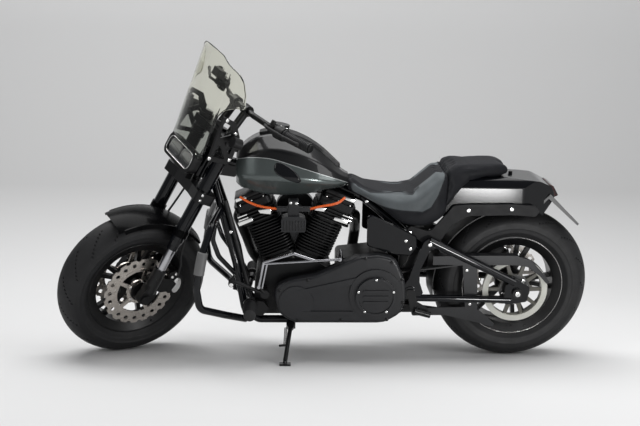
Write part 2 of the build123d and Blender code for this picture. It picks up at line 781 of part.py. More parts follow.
def plug_leads():
    """Ignition leads from the coil to a plug boot on each head."""
    front = [(612, -128, 676), (572, -128, 681), (528, -126, 690), (492, -122, 705), (462, -114, 722)]
    rear = [(748, -128, 676), (790, -128, 687), (832, -126, 693), (866, -122, 701), (892, -114, 722)]
    return [bent_tube(points, 5, easy_bends(points)) for points in (front, rear)]


# ---- frame ------------------------------------------------------------------
def neck_point(up):
    """Point on the steering axis at a height along the fork."""
    return (fork * Pos(STEM_BACK, 0, up)).position


def steering_head():
    """Steering head tube, its gusset and the backbone down to the seat post."""
    tube = rod(neck_point(NECK_LOW), neck_point(NECK_HIGH), 34)
    backbone = bent_tube([(352, 0, 862), (560, 0, 806), (850, 0, 750), (984, 0, 692)], 20, [300, 120])
    gusset = slab(outline(((300, 800), (346, 868), (470, 835), (440, 780)), 10), -14, 14)
    bore = rod(neck_point(NECK_LOW - 5), neck_point(NECK_HIGH + 5), STEM_R + RUNNING)
    return tube + backbone + gusset - bore


PLATE_IN = 78.0
PLATE_OUT = 94.0
STRUT_BOLTS = ((1155, 577), (1237, 541))


def frame_rail(side):
    """Cradle tube to the foot of the pivot plate, and the seat tube above it."""
    y = side * RAIL_Y
    plate_y = side * (PLATE_IN + PLATE_OUT) / 2
    cradle = [
        (348, side * 42, 792), (392, side * 92, 640), (446, y, 440), (484, y, 226),
        (542, y, 192), (1050, y, 192), (1150, plate_y, 236),
    ]
    seat_tube = [(1212, plate_y, 500), (1120, side * 84, 590), (968, side * 30, 704)]
    bosses = [rod((x, plate_y, z), (x, side * 114, z), 13) for x, z in STRUT_BOLTS]
    upper = bent_tube(seat_tube, RAIL_R, [60])
    tab = slab(
        outline(((1140, 560), (1212, 498), (1252, 530), (1244, 556), (1160, 594)), 8),
        *sorted((side * (PLATE_OUT - 14), side * PLATE_OUT)),
    )
    lower = bent_tube(cradle, RAIL_R, [60, 120, 60, 28, 60])
    if side < 0:
        lower = lower + stand_mount()
    return [lower, fused([upper, tab] + bosses)]


def pivot_plates():
    """Cast plates that carry the swingarm pivot at the foot of the frame."""
    plates = []
    for side in SIDES:
        low, high = sorted((side * PLATE_IN, side * PLATE_OUT))
        shape = outline(
            ((1134, 216), (1190, 216), (1214, 300), (1206, 420), (1236, 512), (1190, 520), (1146, 410)), 12
        )
        plate = slab(shape, low, high)
        plates.append(plate - rod((PIVOT_X, -150, PIVOT_Z), (PIVOT_X, 150, PIVOT_Z), 26 + RUNNING))
    return plates


ARM_BRIDGE = ((1296, -ARM_Y, 510), (1296, ARM_Y, 510))


def swingarm():
    """Triangulated swingarm: pivot tube, side castings, arms and bridge."""
    pivot = rod((PIVOT_X, -ARM_Y - 14, PIVOT_Z), (PIVOT_X, ARM_Y + 14, PIVOT_Z), 26)
    bridge = rod(ARM_BRIDGE[0], ARM_BRIDGE[1], 12)
    strut_shape = outline(
        (
            (1140, 302), (1196, 296), (1222, 328), (1206, 374), (1204, 424), (1250, 526),
            (1258, 548), (1236, 562), (1216, 546), (1174, 434), (1160, 390), (1140, 356),
        ),
        8,
    )
    eye_shape = outline(((1560, 276), (1660, 290), (1668, 356), (1604, 392), (1568, 360)), 14)
    pieces = [pivot, bridge]
    for side in SIDES:
        y = side * ARM_Y
        low, high = sorted((y - 10, y + 10))
        lower = rod((PIVOT_X + 10, y, 304), (1592, y, 296), 15)
        upper = rod((1240, y, 552), (1604, y, 372), 17)
        pieces += [lower, upper, slab(strut_shape, low, high), slab(eye_shape, low, high)]
    return fused(pieces) - rod((WHEELBASE, -190, REAR_R), (WHEELBASE, 190, REAR_R), AXLE_R)


def rear_axle():
    """Rear axle with a nut on each side."""
    bar = rod((WHEELBASE, -176, REAR_R), (WHEELBASE, 176, REAR_R), AXLE_R)
    nuts = [
        rod((WHEELBASE, side * 167, REAR_R), (WHEELBASE, side * 182, REAR_R), 20) for side in SIDES
    ]
    return fused([bar] + nuts)


def tank_section(x, width, low, high):
    """Pear-shaped tank section: wide shoulder below the middle, narrow crest."""
    half, tall = width / 2, high - low
    points = [
        (-0.62 * half, low), (0.62 * half, low), (half, low + 0.34 * tall), (0.82 * half, low + 0.78 * tall),
        (0.34 * half, high), (-0.34 * half, high), (-0.82 * half, low + 0.78 * tall), (-half, low + 0.34 * tall),
    ]
    corner = 0.22 * min(half, tall)
    face = make_face(FilletPolyline(*points, radius=corner, close=True))
    return Plane.YZ.offset(x) * face


TANK = (  # x, width, low, high
    (446, 170, 766, 886),
    (492, 262, 740, 936),
    (590, 304, 724, 972),
    (700, 292, 722, 952),
    (800, 246, 730, 890),
    (862, 190, 744, 832),
    (908, 120, 760, 800),
)


def tank_form(grow):
    """Outer form of the tank, larger all round by an amount."""
    half_run = (TANK[-1][0] - TANK[0][0]) / 2
    centre = TANK[0][0] + half_run
    stretch = 1 + grow / half_run
    return loft([
        tank_section(centre + (x - centre) * stretch, width + 2 * grow, low - grow, high + grow)
        for x, width, low, high in TANK
    ])


def fuel_tank():
    """Teardrop tank with a tunnel over the backbone."""
    tunnel_shape = outline(((400, 700), (400, 886), (560, 846), (860, 802), (960, 752), (960, 700)), 2)
    tunnel = slab(tunnel_shape, -36, 36)
    valley = box((400, -92, 600), (950, 92, 752))
    return tank_form(0) - tunnel - valley


def tank_console():
    """Dash strip along the crest of the tank with the filler cap in it."""
    strip = outline(
        ((540, -30), (640, -44), (800, -34), (874, -18), (874, 18), (800, 34), (640, 44), (540, 30)), 12
    )
    console = tank_form(10) & extrude(Plane.XY.offset(780) * strip, amount=300)
    cap = rod((622, 0, 968), (626, 0, 990), 36)
    return console + cap - tank_form(0)


def seat_section(x, width, low, high, corner):
    """Rounded seat section."""
    face = Pos(0, (low + high) / 2) * RectangleRounded(width, high - low, corner)
    return Plane.YZ.offset(x) * face


RIDER_SEAT = (  # x, width, low, high, corner
    (900, 120, 752, 806, 20),
    (960, 214, 728, 776, 22),
    (1050, 292, 676, 760, 34),
    (1130, 318, 618, 764, 40),
    (1200, 316, 606, 790, 40),
    (1268, 286, 660, 866, 40),
)
PILLION = (
    (1270, 284, 664, 868, 40),
    (1330, 262, 734, 872, 34),
    (1400, 244, 790, 868, 30),
    (1500, 214, 806, 856, 20),
    (1572, 130, 806, 824, 7),
)


def fender_form(inset):
    """Arched body that is rounded in side, end and plan view, drawn in by an inset."""
    side_view = outline(
        (
            (1296, 600), (1296, 788 - inset), (1360, 806 - inset), (1560, 804 - inset), (1700, 790 - inset),
            (1752 - inset, 764 - inset), (1772 - inset, 722), (1716 - inset, 640), (1676, 600),
        ),
        [1, 20, 60, 200, 60, 30, 20, 10, 2],
    )
    half = 112 - inset
    end_shape = outline(((-half, 500), (half, 500), (half, 806 - inset), (-half, 806 - inset)), [1, 1, 46, 46])
    end_view = extrude(Plane.YZ.offset(1200) * end_shape, amount=700)
    tail, tail_half = 1775 - inset, 72 - inset
    plan = outline(
        ((1290, -half), (1640, -half), (tail, -tail_half), (tail, tail_half), (1640, half), (1290, half)),
        [1, 120, 30, 30, 120, 1],
    )
    return slab(side_view, -half, half) & end_view & extrude(Plane.XY.offset(500) * plan, amount=400)


def rear_fender():
    """Arched rear mudguard with a dropped tail, open underneath."""
    shell = fender_form(0) - fender_form(4.5)
    below = outline(
        (
            (1280, 590), (1280, 640), (1400, 668), (1460, 672), (1560, 676), (1676, 672), (1712, 650),
            (1752, 590),
        ),
        [1, 4, 40, 60, 60, 20, 10, 1],
    )
    trim = slab(below, -130, 130)
    front = box((1280, -120, 590), (1297, 120, 900))
    return shell - trim - front


def inner_fender():
    """Inner mudguard close round the front of the rear tyre, with lugs to the swingarm bridge."""
    inner_r, outer_r, half = REAR_R + 13, REAR_R + 17, 94
    section = make_face(Polyline((inner_r, -half), (outer_r, -half), (outer_r, half), (inner_r, half), close=True))
    guard = at_rear_axle * Rot(0, -190, 0) * revolve(section, Axis.Y, 84)
    away = Vector(ARM_BRIDGE[0][0] - WHEELBASE, 0, ARM_BRIDGE[0][2] - REAR_R)
    out = away.normalized()
    for y in (-50, 50):
        hub = Vector(WHEELBASE, y, REAR_R)
        guard = guard + rod(hub + out * (inner_r + 2), hub + out * (away.length - 11), 8)
    return guard


def fender_struts():
    """Forged struts along the fender, one on each side."""
    left = slab(
        outline(
            (
                (1146, 584), (1180, 560), (1262, 500), (1336, 612), (1400, 650), (1590, 655), (1680, 648),
                (1698, 672), (1676, 694), (1580, 701), (1390, 698), (1340, 694), (1246, 580), (1166, 606),
            ),
            [8, 20, 8, 40, 40, 60, 10, 14, 14, 60, 30, 30, 30, 8],
        ),
        -128, -114,
    )
    return both_sides(left)


def tail_lamp():
    """Slim lamp let into the tail of the fender."""
    return slab(outline(((1738, 776), (1764, 762), (1786, 724), (1768, 716), (1748, 752)), 5), -62, 62)


def plate_holder():
    """Slanted holder under the tail with its blank plate."""
    holder = slab(outline(((1712, 700), (1748, 734), (1876, 608), (1870, 600), (1740, 716), (1718, 690)), 2), -88, 88)
    return holder


def side_covers():
    """Triangular covers under the saddle."""
    edge = ((984, 662), (1090, 618), (1190, 566), (1194, 520), (1168, 482), (1100, 486), (984, 524))
    left = slab(outline(edge, 16), -146, -128)
    left = chamfer(left.faces().sort_by(Axis.Y)[0].edges(), 5)
    return both_sides(left)


def belt_path(radius_front, radius_rear):
    """Closed outline round both pulleys."""
    run = WHEELBASE - FRONT_PULLEY_X
    lift = math.atan2(REAR_R - FRONT_PULLEY_Z, run)
    spread = math.asin((radius_rear - radius_front) / math.hypot(run, REAR_R - FRONT_PULLEY_Z))
    points = []
    for sign in (1, -1):
        turn = lift + sign * (math.pi / 2 + spread)
        for x, z, r in ((FRONT_PULLEY_X, FRONT_PULLEY_Z, radius_front), (WHEELBASE, REAR_R, radius_rear)):
            points.append((x + r * math.cos(turn), z + r * math.sin(turn)))
    top_front, top_rear, low_front, low_rear = points
    return make_face([
        Line(top_front, top_rear),
        ThreePointArc(top_rear, (WHEELBASE + radius_rear, REAR_R), low_rear),
        Line(low_rear, low_front),
        ThreePointArc(low_front, (FRONT_PULLEY_X - radius_front, FRONT_PULLEY_Z), top_front),
    ])


def drive_belt():
    """Toothed belt from the gearbox to the rear wheel, as one band."""
    outer = slab(belt_path(FRONT_PULLEY_R + 6, PULLEY_R + 7), BELT_OUT + 2, BELT_IN - 2)
    inner = slab(belt_path(FRONT_PULLEY_R, PULLEY_R + 1), BELT_OUT, BELT_IN)
    return outer - inner


def belt_guard():
    """Upper belt guard with its drooped end, and the guard below the belt."""
    face, back = -138, -132
    upper = outline(
        (
            (1262, 441), (1262, 474), (1460, 478), (1620, 478), (1674, 462), (1738, 394), (1758, 366),
            (1744, 360), (1716, 392), (1660, 434), (1604, 441),
        ),
        [3, 3, 60, 60, 40, 30, 3, 3, 30, 40, 40],
    )
    top = outline(((1262, 474), (1262, 478), (1460, 482), (1620, 482), (1620, 478), (1460, 478)), 0.5)
    lower = outline(
        (
            (1210, 219), (1210, 250), (1330, 254), (1424, 256), (1472, 238), (1535, 178), (1527, 168),
            (1424, 196), (1322, 219),
        ),
        [4, 4, 40, 20, 20, 4, 4, 40, 20],
    )
    bracket = outline(((1382, 484), (1447, 468), (1460, 224), (1406, 250)), 4)
    return fused([
        slab(upper, face, back), slab(top, face, BELT_IN), slab(lower, face, back), slab(bracket, face - 1.5, face),
    ])


def rear_caliper():
    """Rear caliper on its bracket, on the right."""
    shape = outline(((1500, 372), (1540, 452), (1590, 470), (1616, 436), (1570, 410), (1536, 356)), 10)
    body = slab(shape, 92, 138)
    slot = Pos(WHEELBASE, 103, REAR_R) * axis_y_disc(150, -6.5, 6.5)
    arm = slab(outline(((1590, 330), (1600, 440), (1570, 440), (1560, 330)), 6), 126, 138)
    return body - slot + arm


def oil_cooler():
    """Small finned oil cooler between the downtubes."""
    core = box((436, -56, 300), (456, 56, 400))
    for up in range(7):
        core = core + box((430, -62, 304 + 14 * up), (462, 62, 308 + 14 * up))
    return core


def exhaust():
    """Two headers joined into a collector that feeds the mufflers."""
    front = [
        (460, 50, 622), (450, 62, 590), (486, 104, 490), (510, 160, 400), (574, 176, 312), (900, 180, 286),
    ]
    rear = [
        (926, 56, 612), (950, 92, 592), (958, 180, 504), (942, 184, 372), (1004, 186, 306), (1080, 190, 306),
    ]
    front_pipe = bent_tube(front, 23, [28, 80, 90, 90])
    rear_pipe = bent_tube(rear, 23, [26, 50, 60, 40])
    collector = rod((880, 180, 288), (1110, 196, 316), 32)
    return front_pipe + rear_pipe + collector


def mufflers():
    """Pair of upswept mufflers, one above the other."""
    pieces = []
    for low, rise in ((322, 30), (432, 36)):
        start, end = (1130, 226, low), (1660, 240, low + rise)
        can = rod(start, end, 47)
        nose = rod((1060, 206, low - 6), start, 30, 47)
        direction = (Vector(*end) - Vector(*start)).normalized()
        far = Vector(*end)
        hollow = rod(far - direction * 60, far + direction, 36)
        pieces.append(can + nose - hollow)
    link = rod((1130, 222, 330), (1130, 222, 424), 26)
    return pieces[0] + pieces[1] + link


def engine_guard():
    """Loop of tube on each side ahead of the engine, with its inner brace."""
    guards = []
    for side in SIDES:
        loop = [
            (384, side * 100, 664), (350, side * 214, 622), (314, side * 318, 520), (296, side * 334, 400),
            (308, side * 322, 312), (404, side * 236, 256), (484, side * 132, 200),
        ]
        tube = bent_tube(loop, 15, [60, 60, 60, 50, 60])
        inner = [(366, side * 160, 640), (352, side * 152, 549), (376, side * 148, 478), (438, side * 118, 398)]
        brace = bent_tube(inner, 10, [60, 60])
        guards.append(tube + brace)
    return guards


PEG_X = 506.0
PEG_Z = 284.0


def foot_pegs():
    """Forward pegs on their arms, the folded passenger pegs and the brake pedal."""
    pegs = []
    for side in SIDES:
        arm = bent_tube([(482, side * 118, 232), (498, side * 150, 256), (PEG_X, side * 200, PEG_Z)], 12, [30])
        peg = rod((PEG_X, side * 196, PEG_Z), (PEG_X, side * 318, PEG_Z), 23)
        washer = rod((PEG_X, side * 190, PEG_Z), (PEG_X, side * 198, PEG_Z), 29)
        pegs.append(arm + peg + washer)
    clamp = slab(outline(((474, 238), (556, 230), (584, 262), (560, 292), (500, 300), (476, 284)), 10), -178, -156)
    hanger_shape = outline(((1150, 344), (1186, 344), (1198, 292), (1246, 262), (1240, 232), (1178, 232)), 8)
    hanger = slab(hanger_shape, -177, -ARM_Y - 14)
    folded = rod((1186, -188, 256), (1252, -188, 238), 13)
    arm_room = rod((PIVOT_X, -ARM_Y, 304), (PIVOT_X + 120, -ARM_Y, 302.6), 15 + 2 * ROUND_GAP)
    passenger = both_sides(hanger + folded - arm_room)
    return [pegs[0] + clamp, pegs[1] + brake_pedal()] + passenger


LEVER_X = 566.0
LEVER_Z = 335.0


def gear_lever():
    """Heel of the shift lever on its shaft, with the toe arm and its rubber."""
    shaft = rod((LEVER_X, -127, LEVER_Z), (LEVER_X, -192, LEVER_Z), 10)
    hub = rod((LEVER_X, -192, LEVER_Z), (LEVER_X, -212, LEVER_Z), 18)
    toe_arm = rod((LEVER_X, -203, LEVER_Z), (431, -215, 397), 7.5)
    toe = rod((431, -207, 397), (431, -268, 397), 11)
    lug = rod((LEVER_X, -203, LEVER_Z), (541, -212, 372), 8)
    return fused([shaft, hub, toe_arm, toe, lug])


def shift_rods():
    """Bright rods from the shift lever up and back to the gearbox."""
    runs = (  # start, end, radius
        ((541, -221, 368), (561, -221, 477), 5.5),
        ((555, -221, 366), (575, -221, 472), 4.0),
        ((561, -221, 477), (682, -221, 514), 6.0),
        ((682, -221, 514), (768, -219, 484), 6.0),
        ((561, -221, 470), (869, -217, 489), 5.0),
        ((869, -220, 489), (876, -112, 492), 8.0),
        ((876, -116, 497), (884, -112, 440), 8.0),
        ((884, -118, 446), (894, -90, 440), 8.0),
    )
    return fused([rod(*run) for run in runs] + [rod((541, -205, 370), (541, -224, 370), 7)])


def brake_pedal():
    """Rear brake pedal on the right, pivoting on the peg arm."""
    hub = rod((PEG_X, 176, PEG_Z - 12), (PEG_X, 194, PEG_Z - 2), 19)
    arm = rod((PEG_X - 8, 188, PEG_Z), (440, 214, 376), 8)
    pad = Pos(434, 232, 384) * Rot(0, 40, 0) * Box(36, 60, 12)
    return hub + arm + pad


def stand_leg():
    """Side stand: hinge barrel, cranked leg, kick tab and the foot pad."""
    start = Vector(*STAND_PIVOT)
    tilt = math.radians(STAND_TILT)
    hinge = Vector(0, -math.cos(tilt), math.sin(tilt))
    ground = on_ground.inverse() * Pos(STAND_FOOT_X, STAND_FOOT_Y, 0)
    foot = ground.position
    barrel = rod(start - hinge * 10, start + hinge * 10, 15)
    ankle = foot + Vector(0, 4, 16)
    leg = rod(start, ankle, 9)
    half_way = start + (ankle - start) * 0.55
    tab = rod(half_way, half_way + Vector(-34, -22, 6), 5)
    pad = ground * Pos(0, 0, 4) * Box(46, 38, 8)
    heel = rod(ankle, foot + Vector(0, 0, 4), 9)
    floor = ground * Pos(0, 0, -100) * Box(200, 200, 200)
    return barrel + leg + tab + pad + heel - floor


def stand_mount():
    """Lug under the left rail that the side stand hinges on."""
    start = Vector(*STAND_PIVOT)
    tilt = math.radians(STAND_TILT)
    hinge = Vector(0, -math.cos(tilt), math.sin(tilt))
    cheek = rod(start - hinge * 22, start - hinge * 10.3, 15)
    arm = box((656, -134, 156), (694, -106, 196))
    barrel_room = rod(start - hinge * 10.3, start + hinge * 30, 16)
    return cheek + (arm - barrel_room)


barrels, heads, rockers = engine_stacks()
hoses, hose_radii = brake_hoses()
print("brake hose bend radii:", [round(radius) for radius in hose_radii])

chassis = {
    "steering_head": [steering_head()],
    "frame_rails": frame_rail(-1) + frame_rail(1),
    "pivot_plates": pivot_plates(),
    "swingarm": [swingarm()],
    "rear_axle": [rear_axle()],
    "crankcase": [crankcase() + cam_cover()],
    "gearbox": [gearbox()],
    "cylinder_barrels": barrels,
    "cylinder_heads": [head + cover for head, cover in zip(heads, rockers)],
    "pushrod_tubes": pushrod_tubes(),
    "primary_cover": [primary_cover()],
    "inner_primary": [inner_primary()],
    "clutch_cover": [derby_cover()],
    "air_cleaner": [air_cleaner()],
    "coil_cover": [coil_cover()],
    "plug_leads": plug_leads(),
    "fuel_tank": [fuel_tank()],
    "tank_console": [tank_console()],
    "rider_seat": [loft([seat_section(*row) for row in RIDER_SEAT]) - tank_form(1)],
    "pillion_seat": [loft([seat_section(*row) for row in PILLION]) - fender_form(-0.5)],
    "rear_fender": [rear_fender()],
    "inner_fender": [inner_fender()],
    "fender_struts": fender_struts(),
    "tail_lamp": [tail_lamp()],
    "plate_holder": [plate_holder() - fender_form(0)],
    "side_covers": side_covers(),
    "drive_belt": [drive_belt()],
    "belt_guards": [belt_guard()],
    "rear_caliper": [rear_caliper()],
    "oil_cooler": [oil_cooler()],
    "exhaust_headers": [exhaust()],
    "mufflers": [mufflers()],
    "engine_guard": engine_guard(),
    "foot_controls": foot_pegs(),
    "gear_lever": [gear_lever()],
    "shift_rods": [shift_rods()],
}
lamp_shell, lamp_lens = headlamp()
front_end = {
    "triple_clamps": [fork * triple_clamps()],
    "fork_outer_tubes": [fork * leg for leg in fork_tubes()],
    "fork_sliders": [fork * leg for leg in fork_sliders()],
    "fork_lugs": [fork * lug for lug in fork_lugs()],
    "front_axle": [fork * front_axle()],
    "front_calipers": [fork * caliper for caliper in front_calipers()],
    "front_fender": [fused([front_fender()] + fender_stays())],
    "headlamp": [fork * lamp_shell],
    "headlamp_lens": [fork * lamp_lens],
    "windscreen": [fork * screen()],
    "screen_brackets": [fork * plate for plate in screen_brackets()],
    "handlebar": [fork * handlebar()],
    "grips": [fork * grip for grip in grips()],
    "bar_controls": [fork * control for control in bar_controls()],
    "front_indicators": [fork * lamp for lamp in indicators()],
    "brake_hoses": [fork * hose for hose in hoses],
}
front_wheel = front_wheel_nodes()
rear_wheel = rear_wheel_nodes()
stand = {"side_stand": [stand_leg()]}

SEATED = (  # piece, what it is cut to fit
    (chassis, "frame_rails", "steering_head"),
    (chassis, "frame_rails", "pivot_plates"),
    (chassis, "engine_guard", "frame_rails"),
    (chassis, "foot_controls", "frame_rails"),
    (chassis, "engine_guard", "foot_controls"),
    (chassis, "side_covers", "inner_primary"),
    (chassis, "rider_seat", "steering_head"),
    (chassis, "rider_seat", "frame_rails"),
    (chassis, "shift_rods", "gear_lever"),
    (chassis, "shift_rods", "gearbox"),
    (chassis, "inner_fender", "swingarm"),
    (chassis, "foot_controls", "mufflers"),
    (chassis, "exhaust_headers", "cylinder_heads"),
    (chassis, "exhaust_headers", "mufflers"),
    (chassis, "pushrod_tubes", "crankcase"),
    (chassis, "plug_leads", "coil_cover"),
    (chassis, "plug_leads", "cylinder_heads"),
    (chassis, "air_cleaner", "cylinder_barrels"),
    (chassis, "rear_fender", "tail_lamp"),
    (front_end, "handlebar", "triple_clamps"),
)
for nodes, name, against in SEATED:
    fitted = []
    for piece in nodes[name]:
        for other in nodes[against]:
            piece = piece - other
        fitted += list(piece.solids())
    nodes[name] = [solid for solid in fitted if solid.volume > 60]

os.makedirs("parts", exist_ok=True)
groups = (
    (chassis, on_ground),
    (front_end, on_ground * steered),
    (front_wheel, on_ground * steered),
    (rear_wheel, on_ground),
    (stand, on_ground),
)
placed = {}
for nodes, place in groups:
    for name, pieces in nodes.items():
        pieces = pieces if isinstance(pieces, list) else [pieces]
        placed[name] = [place * piece for piece in pieces]

everything = [piece.bounding_box() for pieces in placed.values() for piece in pieces]
middle_x = (min(b.min.X for b in everything) + max(b.max.X for b in everything)) / 2
middle_y = (min(b.min.Y for b in everything) + max(b.max.Y for b in everything)) / 2
centred = Pos(-middle_x, -middle_y, 0)
for name, pieces in placed.items():
    solids = [centred * piece for piece in pieces]
    export_step(Compound(children=solids) if len(solids) > 1 else solids[0], f"parts/{name}.step")

final = centred * on_ground
for label, place, point in (
    ("front hub", final * steered, (0, 0, FRONT_R)),
    ("front hub side", final * steered, (0, 100, FRONT_R)),
    ("rear hub", final, (WHEELBASE, 0, REAR_R)),
    ("rear hub side", final, (WHEELBASE, 100, REAR_R)),
    ("steering low", final * head, (0, 0, 0)),
    ("steering high", final * head, (0, 0, 1000)),
    ("stand pivot", final, STAND_PIVOT),
    ("mirror hole left", final * steered * fork, (76, -226, 922)),
    ("mirror hole right", final * steered * fork, (76, 226, 922)),
    ("mirror up", final * steered * fork, (76, -226, 1022)),
    ("stand foot", centred, (STAND_FOOT_X, STAND_FOOT_Y, 0)),
    ("origin of the upright frame", final, (0, 0, 0)),
    ("upright x", final, (100, 0, 0)),
    ("upright z", final, (0, 0, 100)),
):
    print(label, [round(value, 4) for value in (place * Pos(*point)).position])
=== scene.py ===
import json
import math

import bmesh
import bpy
from mathutils import Matrix, Vector
from mathutils.bvhtree import BVHTree


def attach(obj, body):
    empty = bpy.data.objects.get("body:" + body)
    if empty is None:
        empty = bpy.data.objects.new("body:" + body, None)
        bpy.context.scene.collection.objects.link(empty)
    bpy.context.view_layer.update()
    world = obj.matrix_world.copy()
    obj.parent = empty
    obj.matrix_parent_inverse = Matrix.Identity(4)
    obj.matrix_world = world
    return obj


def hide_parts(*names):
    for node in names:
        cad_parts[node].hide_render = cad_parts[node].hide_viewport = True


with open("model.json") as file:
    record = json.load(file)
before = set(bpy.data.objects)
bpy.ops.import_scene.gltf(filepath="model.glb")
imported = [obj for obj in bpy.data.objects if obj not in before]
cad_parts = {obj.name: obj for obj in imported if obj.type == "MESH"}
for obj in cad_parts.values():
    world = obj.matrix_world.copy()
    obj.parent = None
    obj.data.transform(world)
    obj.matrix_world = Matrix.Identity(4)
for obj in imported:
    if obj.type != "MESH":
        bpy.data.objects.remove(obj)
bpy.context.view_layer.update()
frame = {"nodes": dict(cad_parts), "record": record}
nodes = frame["nodes"]
print("frame loaded:", len(nodes), "CAD nodes")

# places: the bike stands upright in its own frame, x rearward from the front axle, y to the rider's right
stance = {"shift": (-0.8249777, 0.1038742, -0.008325), "pitch": -0.36645, "lean": 10.15, "rake": 28.0,
          "turn": 32.13, "axleHeight": 0.323, "stemBack": 0.0346, "rearAxle": (1.615, 0.0, 0.329)}


def turned(angle, axis):
    return Matrix.Rotation(math.radians(angle), 4, axis)


def moved(place):
    return Matrix.Translation(place)


def swung(axis, run):
    return Vector(axis).rotation_difference(Vector(run)).to_matrix().to_4x4()


parked = moved(stance["shift"]) @ turned(stance["pitch"], "Y") @ turned(stance["lean"], "X")
stemAxis = Vector((math.sin(math.radians(stance["rake"])), 0, math.cos(math.radians(stance["rake"]))))
stemPoint = Vector((stance["stemBack"] * stemAxis.z, 0,
                    stance["axleHeight"] - stance["stemBack"] * stemAxis.x))
steered = parked @ moved(stemPoint) @ turned(stance["turn"], stemAxis) @ moved(-stemPoint)
frontHub = steered @ moved((0, 0, stance["axleHeight"]))  # wheel pieces turn about its Y axis
rearHub = parked @ moved(stance["rearAxle"])
forkPlace = frontHub @ turned(stance["rake"], "Y")  # z runs up the fork

# camera
cameraSettings = {"place": (-0.24011, -4.55019, 1.03869), "yaw": 0.045364, "pitch": 0.09376, "roll": 0.016488,
                  "focalPixels": 1084.83, "imageWidth": 640}


def makeCamera(s):
    sight = Vector((math.sin(s["yaw"]) * math.cos(s["pitch"]), math.cos(s["yaw"]) * math.cos(s["pitch"]),
                    -math.sin(s["pitch"])))
    right = Vector((math.cos(s["yaw"]), -math.sin(s["yaw"]), 0))
    up = right.cross(sight)
    across = right * math.cos(s["roll"]) + up * math.sin(s["roll"])
    upward = up * math.cos(s["roll"]) - right * math.sin(s["roll"])
    data = bpy.data.cameras.new("camera")
    data.sensor_width = 36
    data.lens = s["focalPixels"] / s["imageWidth"] * data.sensor_width
    camera = bpy.data.objects.new("camera", data)
    bpy.context.scene.collection.objects.link(camera)
    camera.matrix_world = moved(s["place"]) @ Matrix((across, upward, -sight)).transposed().to_4x4()
    bpy.context.scene.camera = camera


makeCamera(cameraSettings)
print("camera in place")


# materials
def startMaterial(name, sockets):
    material = bpy.data.materials.new(name)
    material.use_nodes = True
    tree = material.node_tree
    shader = tree.nodes["Principled BSDF"]
    for socket, value in sockets.items():
        shader.inputs[socket].default_value = value
    return material, tree, shader


def addNode(tree, kind, values, links):
    node = tree.nodes.new(kind)
    for socket, value in values.items():
        node.inputs[socket].default_value = value
    for socket, output in links.items():
        tree.links.new(output, node.inputs[socket])
    return node


def objectPoint(tree, place=Matrix()):
    inverse = place.inverted()  # coordinates in that frame
    values = {"Rotation": inverse.to_euler("XYZ"), "Location": inverse.translation}
    coordinates = tree.nodes.new("ShaderNodeTexCoord").outputs["Object"]
    return addNode(tree, "ShaderNodeMapping", values, {"Vector": coordinates}).outputs["Vector"]


def noiseField(tree, scale, detail=4):
    values = {"Scale": scale, "Detail": detail, "Roughness": 0.55}
    return addNode(tree, "ShaderNodeTexNoise", values, {"Vector": objectPoint(tree)}).outputs["Fac"]


def colourRamp(tree, factor, stops):
    ramp = tree.nodes.new("ShaderNodeValToRGB")
    for index, (place, colour) in enumerate(stops):
        stop = ramp.color_ramp.elements[index] if index < 2 else ramp.color_ramp.elements.new(place)
        stop.position = place
        stop.color = (*colour, 1)
    tree.links.new(factor, ramp.inputs["Fac"])
    return ramp.outputs["Color"]


def spread(tree, factor, low, high, start=0.3, end=0.7):
    values = {"From Min": start, "From Max": end, "To Min": low, "To Max": high}
    return addNode(tree, "ShaderNodeMapRange", values, {"Value": factor}).outputs["Result"]


def bumpFrom(tree, shader, height, strength, distance):
    bump = addNode(tree, "ShaderNodeBump", {"Strength": strength, "Distance": distance}, {"Height": height})
    tree.links.new(bump.outputs["Normal"], shader.inputs["Normal"])


def calculate(tree, operation, first, second):
    node = tree.nodes.new("ShaderNodeMath")
    node.operation = operation
    for socket, value in zip(node.inputs, (first, second)):
        if isinstance(value, (int, float)):
            socket.default_value = value
        else:
            tree.links.new(value, socket)
    return node.outputs["Value"]


def mixColours(tree, factor, first, second):
    mix = tree.nodes.new("ShaderNodeMix")
    mix.data_type = "RGBA"
    tree.links.new(factor, mix.inputs[0])
    for socket, value in ((mix.inputs[6], first), (mix.inputs[7], second)):
        if isinstance(value, tuple):
            socket.default_value = (*value, 1)
        else:
            tree.links.new(value, socket)
    return mix.outputs[2]


def split(tree, point):
    return addNode(tree, "ShaderNodeSeparateXYZ", {}, {"Vector": point}).outputs


def radiusFrom(tree, place):
    x, y, z = split(tree, objectPoint(tree, place=place))
    squares = [calculate(tree, "MULTIPLY", axis, axis) for axis in (x, z)]
    return calculate(tree, "SQRT", calculate(tree, "ADD", *squares), 0)


def shade(colour, factor):
    return tuple(min(1.0, channel * factor) for channel in colour)


def mottled(tree, colour, scale, swing):
    stops = [(0.3, shade(colour, 1 - swing)), (0.7, shade(colour, 1 + swing))]
    return colourRamp(tree, noiseField(tree, scale, 5), stops)


def coatedMaterial(name, colour, rough, grain, grainDepth, mottle=12, swing=0.12, metallic=0.0, coat=0.0,
                   coatRough=0.03, coatIor=1.5, specular=0.5, roughSwing=0.05):
    sockets = {"Metallic": metallic, "Coat Weight": coat, "Coat IOR": coatIor, "Coat Roughness": coatRough,
               "Specular IOR Level": specular}
    material, tree, shader = startMaterial(name, sockets)
    tree.links.new(mottled(tree, colour, mottle, swing), shader.inputs["Base Color"])
    tree.links.new(spread(tree, noiseField(tree, mottle * 3.1, 4), rough - roughSwing, rough + roughSwing),
                   shader.inputs["Roughness"])
    bumpFrom(tree, shader, noiseField(tree, grain, 3), 0.35, grainDepth)
    return material


